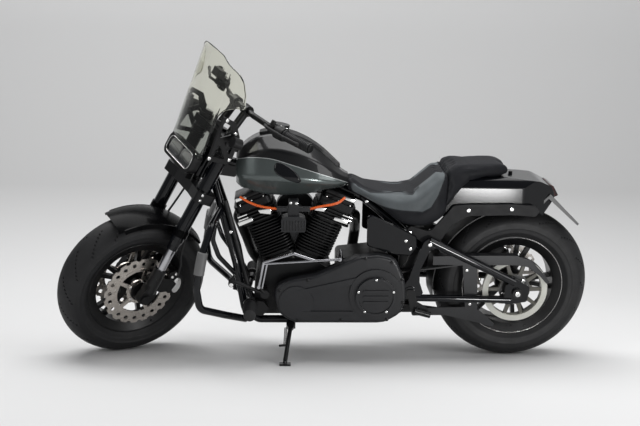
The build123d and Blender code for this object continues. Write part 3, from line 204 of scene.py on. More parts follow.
finishes = {
    "gloss_black": dict(colour=(0.0035, 0.004, 0.0055), rough=0.2, grain=60, grainDepth=0.00002, coat=1.0,
                        coatIor=1.33, coatRough=0.05, specular=0.08),
    "satin_black": dict(colour=(0.0065, 0.0065, 0.007), rough=0.32, grain=700, grainDepth=0.00005,
                        specular=0.26),
    "charcoal": dict(colour=(0.0145, 0.015, 0.017), rough=0.38, grain=900, grainDepth=0.00007, specular=0.32),
    "engine_black": dict(colour=(0.0045, 0.0045, 0.005), rough=0.44, grain=500, grainDepth=0.0001,
                         specular=0.22),
    "deep_black": dict(colour=(0.0022, 0.0022, 0.0026), rough=0.24, grain=60, grainDepth=0.00002, coat=0.05,
                       coatIor=1.3, coatRough=0.05, specular=0.04),
    "fender_black": dict(colour=(0.0035, 0.004, 0.0055), rough=0.22, grain=60, grainDepth=0.000002, coat=1.0,
                         coatIor=1.33, coatRough=0.14, specular=0.02),
    "strut_black": dict(colour=(0.012, 0.012, 0.013), rough=0.5, grain=900, grainDepth=0.00006,
                        specular=0.12),
    "bright_steel": dict(colour=(0.60, 0.59, 0.58), rough=0.24, grain=400, grainDepth=0.00004, metallic=1.0),
    "chrome": dict(colour=(0.42, 0.42, 0.44), rough=0.13, grain=90, grainDepth=0.00001, metallic=1.0,
                   roughSwing=0.02),
    "tyre": dict(colour=(0.010, 0.010, 0.011), rough=0.62, grain=420, grainDepth=0.0002, swing=0.25,
                 specular=0.34),
    "rubber": dict(colour=(0.008, 0.008, 0.009), rough=0.55, grain=600, grainDepth=0.00012, specular=0.4),
    "seat_skin": dict(colour=(0.018, 0.018, 0.020), rough=0.5, grain=300, grainDepth=0.0003, specular=0.4),
    "orange_lead": dict(colour=(0.85, 0.13, 0.015), rough=0.34, grain=300, grainDepth=0.00005),
    "black_plastic": dict(colour=(0.008, 0.008, 0.0085), rough=0.46, grain=1100, grainDepth=0.00008,
                          specular=0.28),
    "sleeve_grey": dict(colour=(0.13, 0.13, 0.13), rough=0.55, grain=500, grainDepth=0.00015),
    "bare_silver": dict(colour=(0.80, 0.80, 0.79), rough=0.18, grain=500, grainDepth=0.00003, metallic=1.0),
    "plate_blank": dict(colour=(0.42, 0.41, 0.37), rough=0.45, grain=200, grainDepth=0.00005),
}
materials = {name: coatedMaterial(name.replace("_", "-"), **values) for name, values in finishes.items()}


def clearMaterial(name, tint, rough, second, place=None, low=0.0, high=1.0):
    sockets = {"Roughness": rough, "IOR": 1.45, "Transmission Weight": 1.0}
    material, tree, shader = startMaterial(name, sockets)
    if place is None:
        factor = noiseField(tree, 9, 3)
    else:  # tint fades up that frame's height
        factor = spread(tree, split(tree, objectPoint(tree, place=place))[2], 0, 1, low, high)
    tree.links.new(colourRamp(tree, factor, [(0.3, tint), (0.7, second)]), shader.inputs["Base Color"])
    return material


smoke = ((0.42, 0.44, 0.40), 0.02, (0.93, 0.93, 0.82))
materials["smoke"] = clearMaterial("smoke", *smoke, forkPlace, 0.72, 0.92)
materials["clear"] = clearMaterial("clear", (0.92, 0.93, 0.94), 0.02, (0.88, 0.90, 0.92))
materials["red_lens"] = clearMaterial("red-lens", (0.05, 0.002, 0.002), 0.12, (0.03, 0.001, 0.001))

# the tank's side: grey-green under a black crown, with a fine painted highlight line between them, as height
# over length
tankPaint = {"edge": ((0.440, 0.868), (0.476, 0.880), (0.500, 0.886), (0.570, 0.887), (0.614, 0.879),
                      (0.652, 0.867), (0.701, 0.851), (0.750, 0.834), (0.823, 0.807), (0.887, 0.780),
                      (0.920, 0.764)),
             # line: the colour of the painted highlight along the crown's edge
             "side": (0.098, 0.114, 0.112), "crown": (0.004, 0.004, 0.0048), "line": (0.62, 0.64, 0.64),
             "edgeHighlightHalf": 0.0011}


def edgeCurve(tree, along, points):
    firstX, lastX = points[0][0], points[-1][0]
    floor, roof = min(z for x, z in points) - 0.01, max(z for x, z in points) + 0.01
    curve = tree.nodes.new("ShaderNodeFloatCurve")
    line = curve.mapping.curves[0]
    for index, (x, z) in enumerate(points):
        spot = ((x - firstX) / (lastX - firstX), (z - floor) / (roof - floor))
        if index == 0:
            line.points[0].location = spot
        elif index == len(points) - 1:
            line.points[-1].location = spot
        else:
            line.points.new(*spot)
    curve.mapping.update()
    tree.links.new(spread(tree, along, 0, 1, firstX, lastX), curve.inputs["Value"])
    return spread(tree, curve.outputs["Value"], floor, roof, 0, 1)


def makeTankMaterial(s):
    sockets = {"Coat Weight": 0.6, "Coat Roughness": 0.05, "Coat IOR": 1.38, "Specular IOR Level": 0.2}
    material, tree, shader = startMaterial("tank-paint", sockets)
    x, y, z = split(tree, objectPoint(tree, place=parked))
    above = calculate(tree, "SUBTRACT", z, edgeCurve(tree, x, s["edge"]))
    flake = mottled(tree, s["side"], 900, 0.10)
    crown = spread(tree, above, 0, 1, -0.0004, 0.0004)
    paint = mixColours(tree, crown, flake, s["crown"])
    # the pale line along the edge of the crown is a painted highlight
    onEdgeHighlight = spread(tree, calculate(tree, "ABSOLUTE", above, 0), 1, 0, s["edgeHighlightHalf"] * 0.8, s["edgeHighlightHalf"])
    tree.links.new(mixColours(tree, onEdgeHighlight, paint, s["line"]), shader.inputs["Base Color"])
    tree.links.new(spread(tree, crown, 0.22, 0.36, 0, 1), shader.inputs["Roughness"])
    tree.links.new(spread(tree, crown, 0.45, 0.0, 0, 1), shader.inputs["Metallic"])
    bumpFrom(tree, shader, noiseField(tree, 50, 2), 0.3, 0.00002)
    return material


materials["tank_paint"] = makeTankMaterial(tankPaint)

# the pulley: a pale rim round olive brown spokes and a black hub, by distance from the axle
pulleyPaint = {"reach": 0.16, "stops": ((0.38, (0.008, 0.008, 0.008)), (0.43, (0.06, 0.055, 0.035)),
                                        (0.69, (0.075, 0.068, 0.045)), (0.715, (0.64, 0.64, 0.57)),
                                        (0.85, (0.66, 0.66, 0.60)))}


def makePulleyMaterial(s):
    material, tree, shader = startMaterial("pulley-paint", {"Coat Weight": 0.3, "Roughness": 0.4})
    share = spread(tree, radiusFrom(tree, rearHub), 0, 1, 0, s["reach"])
    speckle = calculate(tree, "ADD", share, spread(tree, noiseField(tree, 140, 4), -0.004, 0.004))
    tree.links.new(colourRamp(tree, speckle, list(s["stops"])), shader.inputs["Base Color"])
    bumpFrom(tree, shader, noiseField(tree, 700, 3), 0.35, 0.00006)
    return material


materials["pulley_paint"] = makePulleyMaterial(pulleyPaint)


# brushed rings: fine grooves turned about the wheel's axle
def makeDiscMaterial(name, place, colour):
    material, tree, shader = startMaterial(name, {"Metallic": 1.0})
    radius = radiusFrom(tree, place)
    rings = addNode(tree, "ShaderNodeTexNoise", {"Scale": 900}, {})
    rings.noise_dimensions = "1D"
    tree.links.new(radius, rings.inputs["W"])
    stops = [(0.3, shade(colour, 0.72)), (0.7, shade(colour, 1.15))]
    tree.links.new(colourRamp(tree, rings.outputs["Fac"], stops), shader.inputs["Base Color"])
    tree.links.new(spread(tree, noiseField(tree, 40), 0.22, 0.36), shader.inputs["Roughness"])
    bumpFrom(tree, shader, rings.outputs["Fac"], 0.3, 0.00008)
    return material


materials["front_disc"] = makeDiscMaterial("front-disc-steel", frontHub, (0.66, 0.61, 0.56))
materials["rear_disc"] = makeDiscMaterial("rear-disc-steel", rearHub, (0.50, 0.47, 0.44))


# inside the lamp: a painted reflection, pale above and dark below, by height up the fork
def makeLampMaterial():
    material, tree, shader = startMaterial("lamp-reflector", {"Roughness": 0.3, "Specular IOR Level": 0.3})
    height = split(tree, objectPoint(tree, place=forkPlace))[2]
    share = spread(tree, height, 0, 1, 0.583, 0.630)
    swirl = calculate(tree, "ADD", share, spread(tree, noiseField(tree, 30, 3), -0.06, 0.06))
    tree.links.new(colourRamp(tree, swirl, [(0.2, (0.012, 0.012, 0.012)), (0.6, (0.55, 0.54, 0.48))]),
                   shader.inputs["Base Color"])
    return material


materials["lamp_inner"] = makeLampMaterial()

ownMaterial = {"fuel_tank": "tank_paint", "rear_pulley": "pulley_paint", "front_brake_discs": "front_disc",
               "rear_brake_disc": "rear_disc", "front_axle": "satin_black", "tank_console": "black_plastic",
               "rear_axle": "satin_black", "side_covers": "gloss_black", "fork_outer_tubes": "gloss_black",
               "plate_holder": "sleeve_grey", "fender_struts": "strut_black", "front_fender": "deep_black",
               "rear_fender": "fender_black"}
for entry in frame["record"]["subparts"]:
    node = nodes[entry["node"]]
    node.data.materials.clear()
    node.data.materials.append(materials[ownMaterial.get(entry["node"], entry["material_slot"])])
print("materials on the CAD nodes")


# helpers that build and place pieces
def linkPiece(name, mesh, material, body, sharp=35):
    for polygon in mesh.polygons:
        polygon.use_smooth = True
    mesh.set_sharp_from_angle(angle=math.radians(sharp))
    piece = bpy.data.objects.new(name, mesh)
    bpy.context.scene.collection.objects.link(piece)
    mesh.materials.append(materials[material])
    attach(piece, body)
    return piece


def addPiece(name, bm, material, body, place=None, sharp=35):
    if place is not None:
        bmesh.ops.transform(bm, matrix=place, verts=bm.verts)
    bmesh.ops.recalc_face_normals(bm, faces=bm.faces)
    mesh = bpy.data.meshes.new(name)
    bm.to_mesh(mesh)
    bm.free()
    return linkPiece(name, mesh, material, body, sharp)


def newVerts(grown):
    return [item for item in grown if isinstance(item, bmesh.types.BMVert)]


def plate(bm, points, low, high, bevel=0.0):
    corners = [bm.verts.new((x, low, z)) for x, z in points]  # an outline in x and z, solid along y
    face = bm.faces.new(corners)
    grown = newVerts(bmesh.ops.extrude_face_region(bm, geom=[face])["geom"])
    bmesh.ops.translate(bm, vec=(0, high - low, 0), verts=grown)
    if bevel:
        edges = {edge for vert in corners + grown for edge in vert.link_edges}
        bmesh.ops.bevel(bm, geom=list(edges), offset=bevel, segments=2, profile=0.5, affect="EDGES",
                        material=-1)


def barrel(bm, radius, low, high, place=None, segments=32, bevel=0.0):
    made = bmesh.ops.create_cone(bm, cap_ends=True, segments=segments, radius1=radius, radius2=radius,
                                 depth=high - low)["verts"]
    if bevel:
        rims = [edge for edge in {e for v in made for e in v.link_edges} if not edge.is_boundary
                and any(len(face.verts) > 4 for face in edge.link_faces)]
        bevelled = bmesh.ops.bevel(bm, geom=rims, offset=bevel, segments=2, profile=0.5, affect="EDGES",
                                   material=-1)
        made = list(set(bevelled["verts"]) | {v for v in made if v.is_valid})
    stand = moved((0, (low + high) / 2, 0)) @ turned(-90, "X")
    bmesh.ops.transform(bm, matrix=(place or Matrix()) @ stand, verts=made)
    return made


def latheRing(bm, profile, segments, place=None):
    chain = [bm.verts.new((radius, y, 0)) for radius, y in profile]  # radius and y pairs turned about y
    edges = [bm.edges.new(pair) for pair in zip(chain, chain[1:] + chain[:1])]
    before = set(bm.verts) - set(chain)
    bmesh.ops.spin(bm, geom=chain + edges, axis=(0, 1, 0), cent=(0, 0, 0), angle=2 * math.pi, steps=segments,
                   use_merge=True)
    made = [vert for vert in bm.verts if vert not in before]
    if place is not None:
        bmesh.ops.transform(bm, matrix=place, verts=made)
    return made


def circleProfile(radius, thickness, y=0.0, sides=8):
    angles = [2 * math.pi * k / sides for k in range(sides)]
    return [(radius + thickness * math.cos(a), y + thickness * math.sin(a)) for a in angles]


def addRing(bm, radius, thickness, place, segments=40):
    latheRing(bm, circleProfile(radius, thickness, 0, 6), segments, place)


def tubeMesh(points, radius, rings=6, cyclic=False, order=4):
    data = bpy.data.curves.new("route", "CURVE")
    data.dimensions = "3D"
    line = data.splines.new("NURBS")
    line.points.add(len(points) - 1)
    for point, place in zip(line.points, points):
        point.co = (*place, 1)
    line.order_u = min(order, len(points))
    line.use_endpoint_u = not cyclic
    line.use_cyclic_u = cyclic
    line.resolution_u = 8
    data.bevel_depth = radius
    data.bevel_resolution = rings // 2
    data.use_fill_caps = True
    route = bpy.data.objects.new("route", data)
    bpy.context.scene.collection.objects.link(route)
    mesh = bpy.data.meshes.new_from_object(route.evaluated_get(bpy.context.evaluated_depsgraph_get()))
    bpy.data.objects.remove(route)
    return mesh


def addTube(name, points, radius, material, body, place, rings=6):
    mesh = tubeMesh([place @ Vector(point) for point in points], radius, rings)
    return linkPiece(name, mesh, material, body, 60)


surfaceTrees = {}


def surfaceTree(names):
    if names not in surfaceTrees:
        verts, faces = [], []
        for name in names:
            mesh = nodes[name].data
            start = len(verts)
            verts += [vert.co.copy() for vert in mesh.vertices]
            faces += [[start + index for index in polygon.vertices] for polygon in mesh.polygons]
        surfaceTrees[names] = BVHTree.FromPolygons(verts, faces)
    return surfaceTrees[names]


def landing(names, place, point, sight=(0, 1, 0)):
    start = place @ (Vector(point) - Vector(sight) * 0.5)  # where a line of sight meets the CAD surface
    run = (place.to_3x3() @ Vector(sight)).normalized()
    hit, normal = surfaceTree(names).ray_cast(start, run)[:2]
    if hit is None:
        print("no surface under", names, point)
        return Vector(point), -Vector(sight)
    back = place.inverted()
    return back @ hit, (back.to_3x3() @ normal).normalized()


screwShape = {"socket": 0.55, "sides": 18, "bevel": 0.18, "sunk": 0.0005}


def socketScrew(bm, place, radius, height):
    s = screwShape
    made = barrel(bm, radius, -height, s["sunk"], place, s["sides"], radius * s["bevel"])
    faces = {face for vert in made if vert.is_valid for face in vert.link_faces}
    outward = (place.to_3x3() @ Vector((0, -1, 0))).normalized()
    base = place.translation
    top = max(faces, key=lambda face: (face.calc_center_median() - base).dot(outward) + face.calc_area())
    bmesh.ops.inset_individual(bm, faces=[top], thickness=radius * (1 - s["socket"]), depth=0)
    inner = bmesh.ops.extrude_discrete_faces(bm, faces=[top])["faces"][0]
    bmesh.ops.translate(bm, vec=-outward * height * 0.5, verts=inner.verts)


def facing(point, outward):
    return moved(point) @ swung((0, -1, 0), outward)


def addScrews(name, spots, radius, height, material, body, place, names, sight):
    bm = bmesh.new()
    for x, z in spots:
        point = landing(names, place, (x, 0, z), sight)[0]
        socketScrew(bm, facing(point, -Vector(sight)), radius, height)
    addPiece(name, bm, material, body, place)


# tyres: one section turned about the axle, with ribs on its walls, then grooves sunk into the tread
tyreLooks = {"steps": 288, "grooveGap": 18, "slant": 2, "depth": -0.0035, "edge": 0.0011, "beadRadius": 0.204,
             "wallRows": 16, "ribs": {2: 0.0012, 7: 0.0016, 9: -0.0012, 12: 0.0016, 13: 0.0016}}
# radius, width, crown radius, half the rim's width, tread columns on each side, hub and body
tyreSizes = {"front_tyre": (0.323, 0.150, 0.084, 0.054, 9, frontHub, "front_wheel"),
             "rear_tyre": (0.329, 0.180, 0.108, 0.072, 11, rearHub, "rear_wheel")}


def bowPoint(ends, share):
    (r0, y0), (r1, y1), (r2, y2) = ends
    a, b, c = (1 - share) * (1 - 2 * share), 4 * share * (1 - share), share * (2 * share - 1)
    return a * r0 + b * r1 + c * r2, a * y0 + b * y1 + c * y2


def makeTyre(name, radius, width, crown, rimHalf, columns, hub, body, s):
    half, core, beadRadius = width / 2, radius - crown, s["beadRadius"]
    shoulder = math.asin((half - 0.005) / crown)
    shoulderR = core + crown * math.cos(shoulder)
    arcs = [((core + crown * math.cos(shoulder * k / columns)), crown * math.sin(shoulder * k / columns))
            for k in range(-columns, columns + 1)]
    wallEnds = ((shoulderR, half - 0.005), (beadRadius + 0.050, half), (beadRadius + 0.018, rimHalf + 0.002))
    wall = []
    for k in range(1, s["wallRows"] + 1):
        r, y = bowPoint(wallEnds, k / s["wallRows"])
        wall.append((r, y + s["ribs"].get(k, 0)))
    inside = [(beadRadius + 0.001, rimHalf - 0.010), (beadRadius + 0.001, rimHalf - 0.019),
              (beadRadius + 0.030, rimHalf - 0.024), (shoulderR - 0.012, half - 0.022),
              (core + crown - 0.014, 0)]
    profile = arcs + wall + inside + [(r, -y) for r, y in reversed(wall + inside[:-1])]
    bm = bmesh.new()
    latheRing(bm, profile, s["steps"])
    bm.faces.ensure_lookup_table()
    grooves = []
    for face in bm.faces:
        middle = face.calc_center_median()
        reach = math.hypot(middle.x, middle.z)
        column = abs(math.asin(max(-1, min(1, middle.y / crown)))) / shoulder * columns
        if reach < shoulderR - 0.002 or not 1 < column < columns:
            continue
        step = math.atan2(middle.z, middle.x) / (2 * math.pi) * s["steps"]
        row = (step - s["slant"] * int(column) + (s["grooveGap"] / 2 if middle.y > 0 else 0)) % s["grooveGap"]
        if row < 1:
            grooves.append(face)
    bmesh.ops.recalc_face_normals(bm, faces=bm.faces)
    bmesh.ops.inset_region(bm, faces=grooves, thickness=s["edge"], depth=s["depth"])
    tyre = addPiece(name.replace("_", "-") + "-tread", bm, "tyre", body, hub, 50)
    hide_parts(name)


for tyreName, tyreSize in tyreSizes.items():
    makeTyre(tyreName, *tyreSize, tyreLooks)
print("tyres")

# wheels: a pin line on each rim, a valve, the discs' buttons and carrier bolts
wheelLooks = {"pinRadius": 0.2135, "pinThick": 0.0011, "buttons": 10, "buttonRadius": 0.0075,
              "buttonHalf": 0.0042, "bolts": 5, "boltRadius": 0.0065, "boltHeight": 0.005,
              "carrierRadius": 0.048,
              "pinColour": {"front-wheel": "satin_black", "rear-wheel": "bright_steel"}}


def makeWheelTrim(prefix, hub, body, rimHalf, discSides, s):
    bm = bmesh.new()
    for side in (-1, 1):
        latheRing(bm, circleProfile(s["pinRadius"], s["pinThick"], side * (rimHalf + 0.0002)), 128)
    addPiece(prefix + "-pin-lines", bm, s["pinColour"][prefix], body, hub)
    bm = bmesh.new()
    for y, outer, inner in discSides:
        out = -1 if y < 0 else 1
        for k in range(s["buttons"]):
            turn = turned(360 / s["buttons"] * (k + 0.5), "Y")
            spot = turn @ moved((outer, y, 0))
            barrel(bm, s["buttonRadius"], -s["buttonHalf"], s["buttonHalf"], spot, 20, 0.001)
        for k in range(s["bolts"]):
            turn = turned(360 / s["bolts"] * k, "Y")
            seat = turn @ moved((s["carrierRadius"], y + out * inner, 0))
            seat = seat @ turned(180, "X") if out > 0 else seat
            socketScrew(bm, seat, s["boltRadius"], s["boltHeight"])
    addPiece(prefix + "-disc-buttons", bm, "bare_silver", body, hub)
    valve = bmesh.new()
    spot = turned(70, "Y") @ moved((0.196, -rimHalf + 0.034, 0))
    barrel(valve, 0.004, -0.034, 0.0, spot, 16, 0.001)
    addPiece(prefix + "-valve", valve, "rubber", body, hub)


# each side of a disc: its y, how far from the axle its buttons are, and how far out its bolts stand
makeWheelTrim("front-wheel", frontHub, "front_wheel", 0.054, ((-0.072, 0.104, 0.004), (0.072, 0.104, 0.004)),
              wheelLooks)
makeWheelTrim("rear-wheel", rearHub, "rear_wheel", 0.072, ((0.103, 0.112, 0.003),), wheelLooks)

# the pulley's bolts
pulleyBolts = {"count": 5, "start": 20, "place": (0.053, -0.130, 0), "radius": 0.0075, "height": 0.006}


def makePulleyBolts(s):
    bm = bmesh.new()
    for k in range(s["count"]):
        spot = turned(360 / s["count"] * k + s["start"], "Y") @ moved(s["place"])
        socketScrew(bm, spot, s["radius"], s["height"])
    addPiece("pulley-bolts", bm, "bare_silver", "rear_wheel", rearHub)


makePulleyBolts(pulleyBolts)
print("wheels")

# headlamp: the flat lens becomes a thin bowed one over two modules, with a bright edge round it
lampLooks = {"front": -0.100, "middle": 0.609, "half": 0.106, "tall": 0.034, "corner": 0.026,
             "glass": (0.0045, 0.0062), "bow": (3, 0.009, 0.0011), "edge": 0.0016,
             "modules": (-0.051, 0.051), "moduleHalf": 0.045, "moduleTall": 0.026,
             "moduleDepth": (0.0082, 0.0135)}


def roundedOutline(half, tall, corner, steps=6):
    points = []
    for turn, (sx, sy) in enumerate(((1, 1), (-1, 1), (-1, -1), (1, -1))):
        for k in range(steps + 1):
            angle = math.pi / 2 * (turn + k / steps)
            points.append((sx * (half - corner) + corner * math.cos(angle),
                           sy * (tall - corner) + corner * math.sin(angle)))
    return points


frontwards = turned(-90, "Z")  # an outline in x and z faces down the fork's x


def makeLamp(s):
    stand = forkPlace @ moved((s["front"], 0, s["middle"])) @ frontwards
    glass = bmesh.new()
    plate(glass, roundedOutline(s["half"] - 0.0004, s["tall"] - 0.0004, s["corner"]), *s["glass"])
    bmesh.ops.recalc_face_normals(glass, faces=glass.faces)
    front = [face for face in glass.faces if face.normal.y < -0.9]
    steps, width, rise = s["bow"]
    for step in range(steps):
        bmesh.ops.inset_region(glass, faces=front, thickness=width, depth=rise)
    lens = addPiece("headlamp-glass", glass, "clear", "steering", stand)
    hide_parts("headlamp_lens")
    outline = roundedOutline(s["half"] + 0.001, s["tall"] + 0.001, s["corner"])
    edge = [stand @ Vector((x, -0.0004, z)) for x, z in outline]
    linkPiece("headlamp-bright-edge", tubeMesh(edge, s["edge"], 6, True), "bare_silver", "steering", 60)
    outline = roundedOutline(s["moduleHalf"], s["moduleTall"], s["moduleTall"] * 0.6)
    for number, x in enumerate(s["modules"]):
        bar = bmesh.new()
        plate(bar, outline, *s["moduleDepth"], 0.0008)
        bmesh.ops.recalc_face_normals(bar, faces=bar.faces)
        faces = [face for face in bar.faces if face.normal.y < -0.9 and len(face.verts) > 4]
        bmesh.ops.inset_region(bar, faces=faces, thickness=0.004, depth=0)
        bmesh.ops.inset_region(bar, faces=faces, thickness=0.003, depth=-0.0025)
        addPiece("headlamp-module-%d" % number, bar, "lamp_inner", "steering", stand @ moved((x, 0, 0)))


makeLamp(lampLooks)
print("headlamp")

# tank: a plain raised teardrop where a badge would sit, and a knurled filler cap
tankLooks = {"badge": ((0.604, 0.829), (0.598, 0.850), (0.606, 0.873), (0.634, 0.871), (0.672, 0.848),
                       (0.700, 0.820), (0.713, 0.796), (0.700, 0.785), (0.668, 0.796), (0.634, 0.812)),
             "badgeLift": 0.0045, "badgeSunk": 0.0006, "badgeSlope": 0.010, "badgeRings": 14,
             "capRadius": 0.0362, "capRidges": 72, "capTop": (0.6265, 0, 0.9925)}


def closedOutline(points):
    corners = [Vector((x, 0, z)) for x, z in points]
    mesh = tubeMesh(corners, 0.0, 0, True, 3)
    route = [vert.co.copy() for vert in mesh.vertices]
    bpy.data.meshes.remove(mesh)
    return route


def makeBadge(s):
    route = closedOutline(s["badge"])  # a domed pad that follows the surface under it
    middle = sum(route, Vector()) / len(route)
    size = max((point - middle).length for point in route)
    bm = bmesh.new()
    rows = []
    for ring in range(s["badgeRings"]):
        share = 1 - (ring / s["badgeRings"]) ** 1.4
        dome = math.sqrt(min(1.0, (1 - share) * size / s["badgeSlope"]))
        row = []
        for point in route:
            hit, normal = landing(("fuel_tank",), parked, middle + (point - middle) * share)
            normal = normal if normal.y < 0 else -normal
            row.append(bm.verts.new(hit + normal * (s["badgeLift"] * dome - s["badgeSunk"])))
        rows.append(row)
    for outer, inner in zip(rows, rows[1:]):
        for k in range(len(route)):
            following = (k + 1) % len(route)
            bm.faces.new((outer[k], outer[following], inner[following], inner[k]))
    bm.faces.new(rows[-1])
    addPiece("tank-plain-badge", bm, "gloss_black", "chassis", parked, 60)


makeBadge(tankLooks)


def makeFillerCap(s):
    stand = parked @ moved(s["capTop"]) @ turned(10, "Y") @ turned(90, "X")
    bm = bmesh.new()
    rim = s["capRadius"] + 0.0006
    domed = [(0.0001, -0.006), (0.020, -0.0055), (0.030, -0.003), (s["capRadius"] - 0.003, -0.0022)]
    latheRing(bm, domed + [(rim, 0.001), (rim, 0.012), (0.0001, 0.012)], s["capRidges"])
    bmesh.ops.remove_doubles(bm, verts=bm.verts, dist=0.0003)
    bm.faces.ensure_lookup_table()
    sides = [(face, face.calc_center_median()) for face in bm.faces if abs(face.normal.y) < 0.2]
    turn = s["capRidges"] / (2 * math.pi)
    ridges = [face for face, middle in sides if int(math.atan2(middle.z, middle.x) * turn) % 2 == 0]
    bmesh.ops.recalc_face_normals(bm, faces=bm.faces)
    bmesh.ops.inset_region(bm, faces=ridges, thickness=0.0004, depth=-0.0009)
    addPiece("filler-cap", bm, "satin_black", "chassis", stand)


makeFillerCap(tankLooks)
print("tank")

# seats: inflated skins with seams, and on the rider seat a paler side band that is partly a paler panel and
# partly painted highlight where the side bulges to the light
seatLooks = {"voxel": 0.006, "frames": 20, "pressure": 4.0, "shrink": 0.0035, "cap": 0.008,
             "high": ((0.895, 0.835), (0.903, 0.824), (0.912, 0.794), (0.945, 0.762), (0.994, 0.742),
                      (1.118, 0.737), (1.168, 0.738), (1.196, 0.762), (1.223, 0.810), (1.258, 0.844),
                      (1.300, 0.872)),
             "low": ((0.895, 0.800), (0.904, 0.784), (0.926, 0.739), (0.970, 0.712), (1.032, 0.691),
                     (1.119, 0.677), (1.207, 0.672), (1.242, 0.693), (1.269, 0.741), (1.291, 0.801),
                     (1.300, 0.838)),
             "side": 0.095, "paleAndLitBandBlur": 0.006, "seam": 0.0011, "seamSunk": 0.0002,
             "pillionSeam": ((1.290, 0.850), (1.340, 0.846), (1.440, 0.838), (1.530, 0.826)),
             "stretch": {"rider_seat": ((1.130, 1.130), (1.268, 1.307)),
                         "pillion_seat": ((1.270, 1.309), (1.400, 1.400))},
             "under": {"rider_seat": ((0.900, 0.752), (0.960, 0.728), (1.050, 0.676), (1.130, 0.618),
                                      (1.200, 0.606), (1.268, 0.660)),
                       "pillion_seat": ((1.270, 0.664), (1.330, 0.734), (1.400, 0.790), (1.500, 0.806))},
             "crest": {"rider_seat": ((0.900, 0.806), (0.960, 0.776), (1.050, 0.760), (1.130, 0.764),
                                      (1.200, 0.790), (1.268, 0.866)),
                       "pillion_seat": ((1.270, 0.868), (1.330, 0.872), (1.400, 0.868), (1.500, 0.856),
                                        (1.572, 0.824))},
             "settle": {"rider_seat": ((0.905, 0.004), (0.975, -0.020), (1.046, -0.023), (1.130, -0.033),
                                       (1.170, -0.033), (1.200, -0.014), (1.240, 0.004), (1.268, -0.014)),
                        "pillion_seat": ((1.270, -0.025), (1.400, -0.017), (1.450, -0.010), (1.500, 0.000),
                                         (1.540, 0.010), (1.572, 0.014))}}


def heightAt(points, x):
    for (x0, z0), (x1, z1) in zip(points, points[1:]):
        if x0 <= x <= x1:
            return z0 + (z1 - z0) * (x - x0) / (x1 - x0)
    return points[0][1] if x < points[0][0] else points[-1][1]


# the rider seat's paler band between the high and low lines: partly painted highlight on the bulging side
def paleAndLitBandShare(spot, s):
    high, low = heightAt(s["high"], spot.x), heightAt(s["low"], spot.x)
    inside = min(high - spot.z, spot.z - low, (abs(spot.y) - s["side"]) * 0.8 + 0.02)
    return max(0.0, min(1.0, 0.5 + inside / s["paleAndLitBandBlur"]))


def makeSeatMaterial():
    material, tree, shader = startMaterial("seat-vinyl", {"Specular IOR Level": 0.06})
    share = tree.nodes.new("ShaderNodeAttribute")
    share.attribute_name = "pale_and_lit_band"
    grain = addNode(tree, "ShaderNodeTexVoronoi", {"Scale": 420}, {"Vector": objectPoint(tree)})
    dark = mottled(tree, (0.0175, 0.0180, 0.0205), 14, 0.14)
    # pale is the band's colour, partly panel colour and partly painted highlight
    pale = mottled(tree, (0.118, 0.131, 0.137), 14, 0.10)
    tree.links.new(mixColours(tree, share.outputs["Fac"], dark, pale), shader.inputs["Base Color"])
    tree.links.new(spread(tree, share.outputs["Fac"], 0.50, 0.40, 0, 1), shader.inputs["Roughness"])
    bumpFrom(tree, shader, grain.outputs["Distance"], 0.35, 0.0005)
    return material


materials["seat_vinyl"] = makeSeatMaterial()


def sitDown(node, mesh, s):
    back = parked.inverted()  # presses the foam into its worn shape
    for vert in mesh.vertices:
        spot = back @ vert.co
        low, high = heightAt(s["under"][node], spot.x), heightAt(s["crest"][node], spot.x)
        share = max(0.0, min(1.0, (spot.z - low) / (high - low)))
        spot.z += share * heightAt(s["settle"][node], spot.x)
        (x0, new0), (x1, new1) = s["stretch"][node]
        pillion = node == "pillion_seat"
        if x0 - 0.02 < spot.x < x1 + 0.02 and (pillion or spot.x > x0):
            reach = (spot.x - x0) / (x1 - x0)
            spot.x = new0 + (new1 - new0) * (min(reach, 1.0) if pillion else reach)
        vert.co = parked @ spot


def inflated(node, s):
    bm = bmesh.new()
    bm.from_mesh(nodes[node].data)
    bmesh.ops.remove_doubles(bm, verts=bm.verts, dist=0.0001)
    bmesh.ops.recalc_face_normals(bm, faces=bm.faces)
    bm.normal_update()
    for vert in bm.verts:
        vert.co -= vert.normal * s["shrink"]
    mesh = bpy.data.meshes.new(node.replace("_", "-") + "-skin")
    bm.to_mesh(mesh)
    bm.free()
    seat = bpy.data.objects.new(mesh.name, mesh)
    bpy.context.scene.collection.objects.link(seat)
    remesh = seat.modifiers.new("remesh", "REMESH")
    remesh.mode = "VOXEL"
    remesh.voxel_size = s["voxel"]
    settle(seat)
    sitDown(node, seat.data, s)
    start = [vert.co.copy() for vert in seat.data.vertices]
    cloth = seat.modifiers.new("cloth", "CLOTH")
    cloth.settings.use_pressure = True
    cloth.settings.uniform_pressure_force = s["pressure"]
    cloth.settings.effector_weights.gravity = 0
    cloth.settings.quality = 4
    for number in range(1, s["frames"] + 1):
        bpy.context.scene.frame_set(number)
    settle(seat)
    bpy.context.scene.frame_set(1)
    for vert, home in zip(seat.data.vertices, start):
        move = vert.co - home
        if move.length > s["cap"]:
            vert.co = home + move * (s["cap"] / move.length)
    smooth = seat.modifiers.new("smooth", "SMOOTH")
    smooth.iterations = 4
    smooth.factor = 0.5
    subdivide = seat.modifiers.new("finer", "SUBSURF")
    subdivide.levels = subdivide.render_levels = 1
    settle(seat)
    return seat


def settle(piece):
    shape = bpy.data.meshes.new_from_object(piece.evaluated_get(bpy.context.evaluated_depsgraph_get()))
    shape.name = piece.data.name + "-set"
    piece.modifiers.clear()
    piece.data = shape


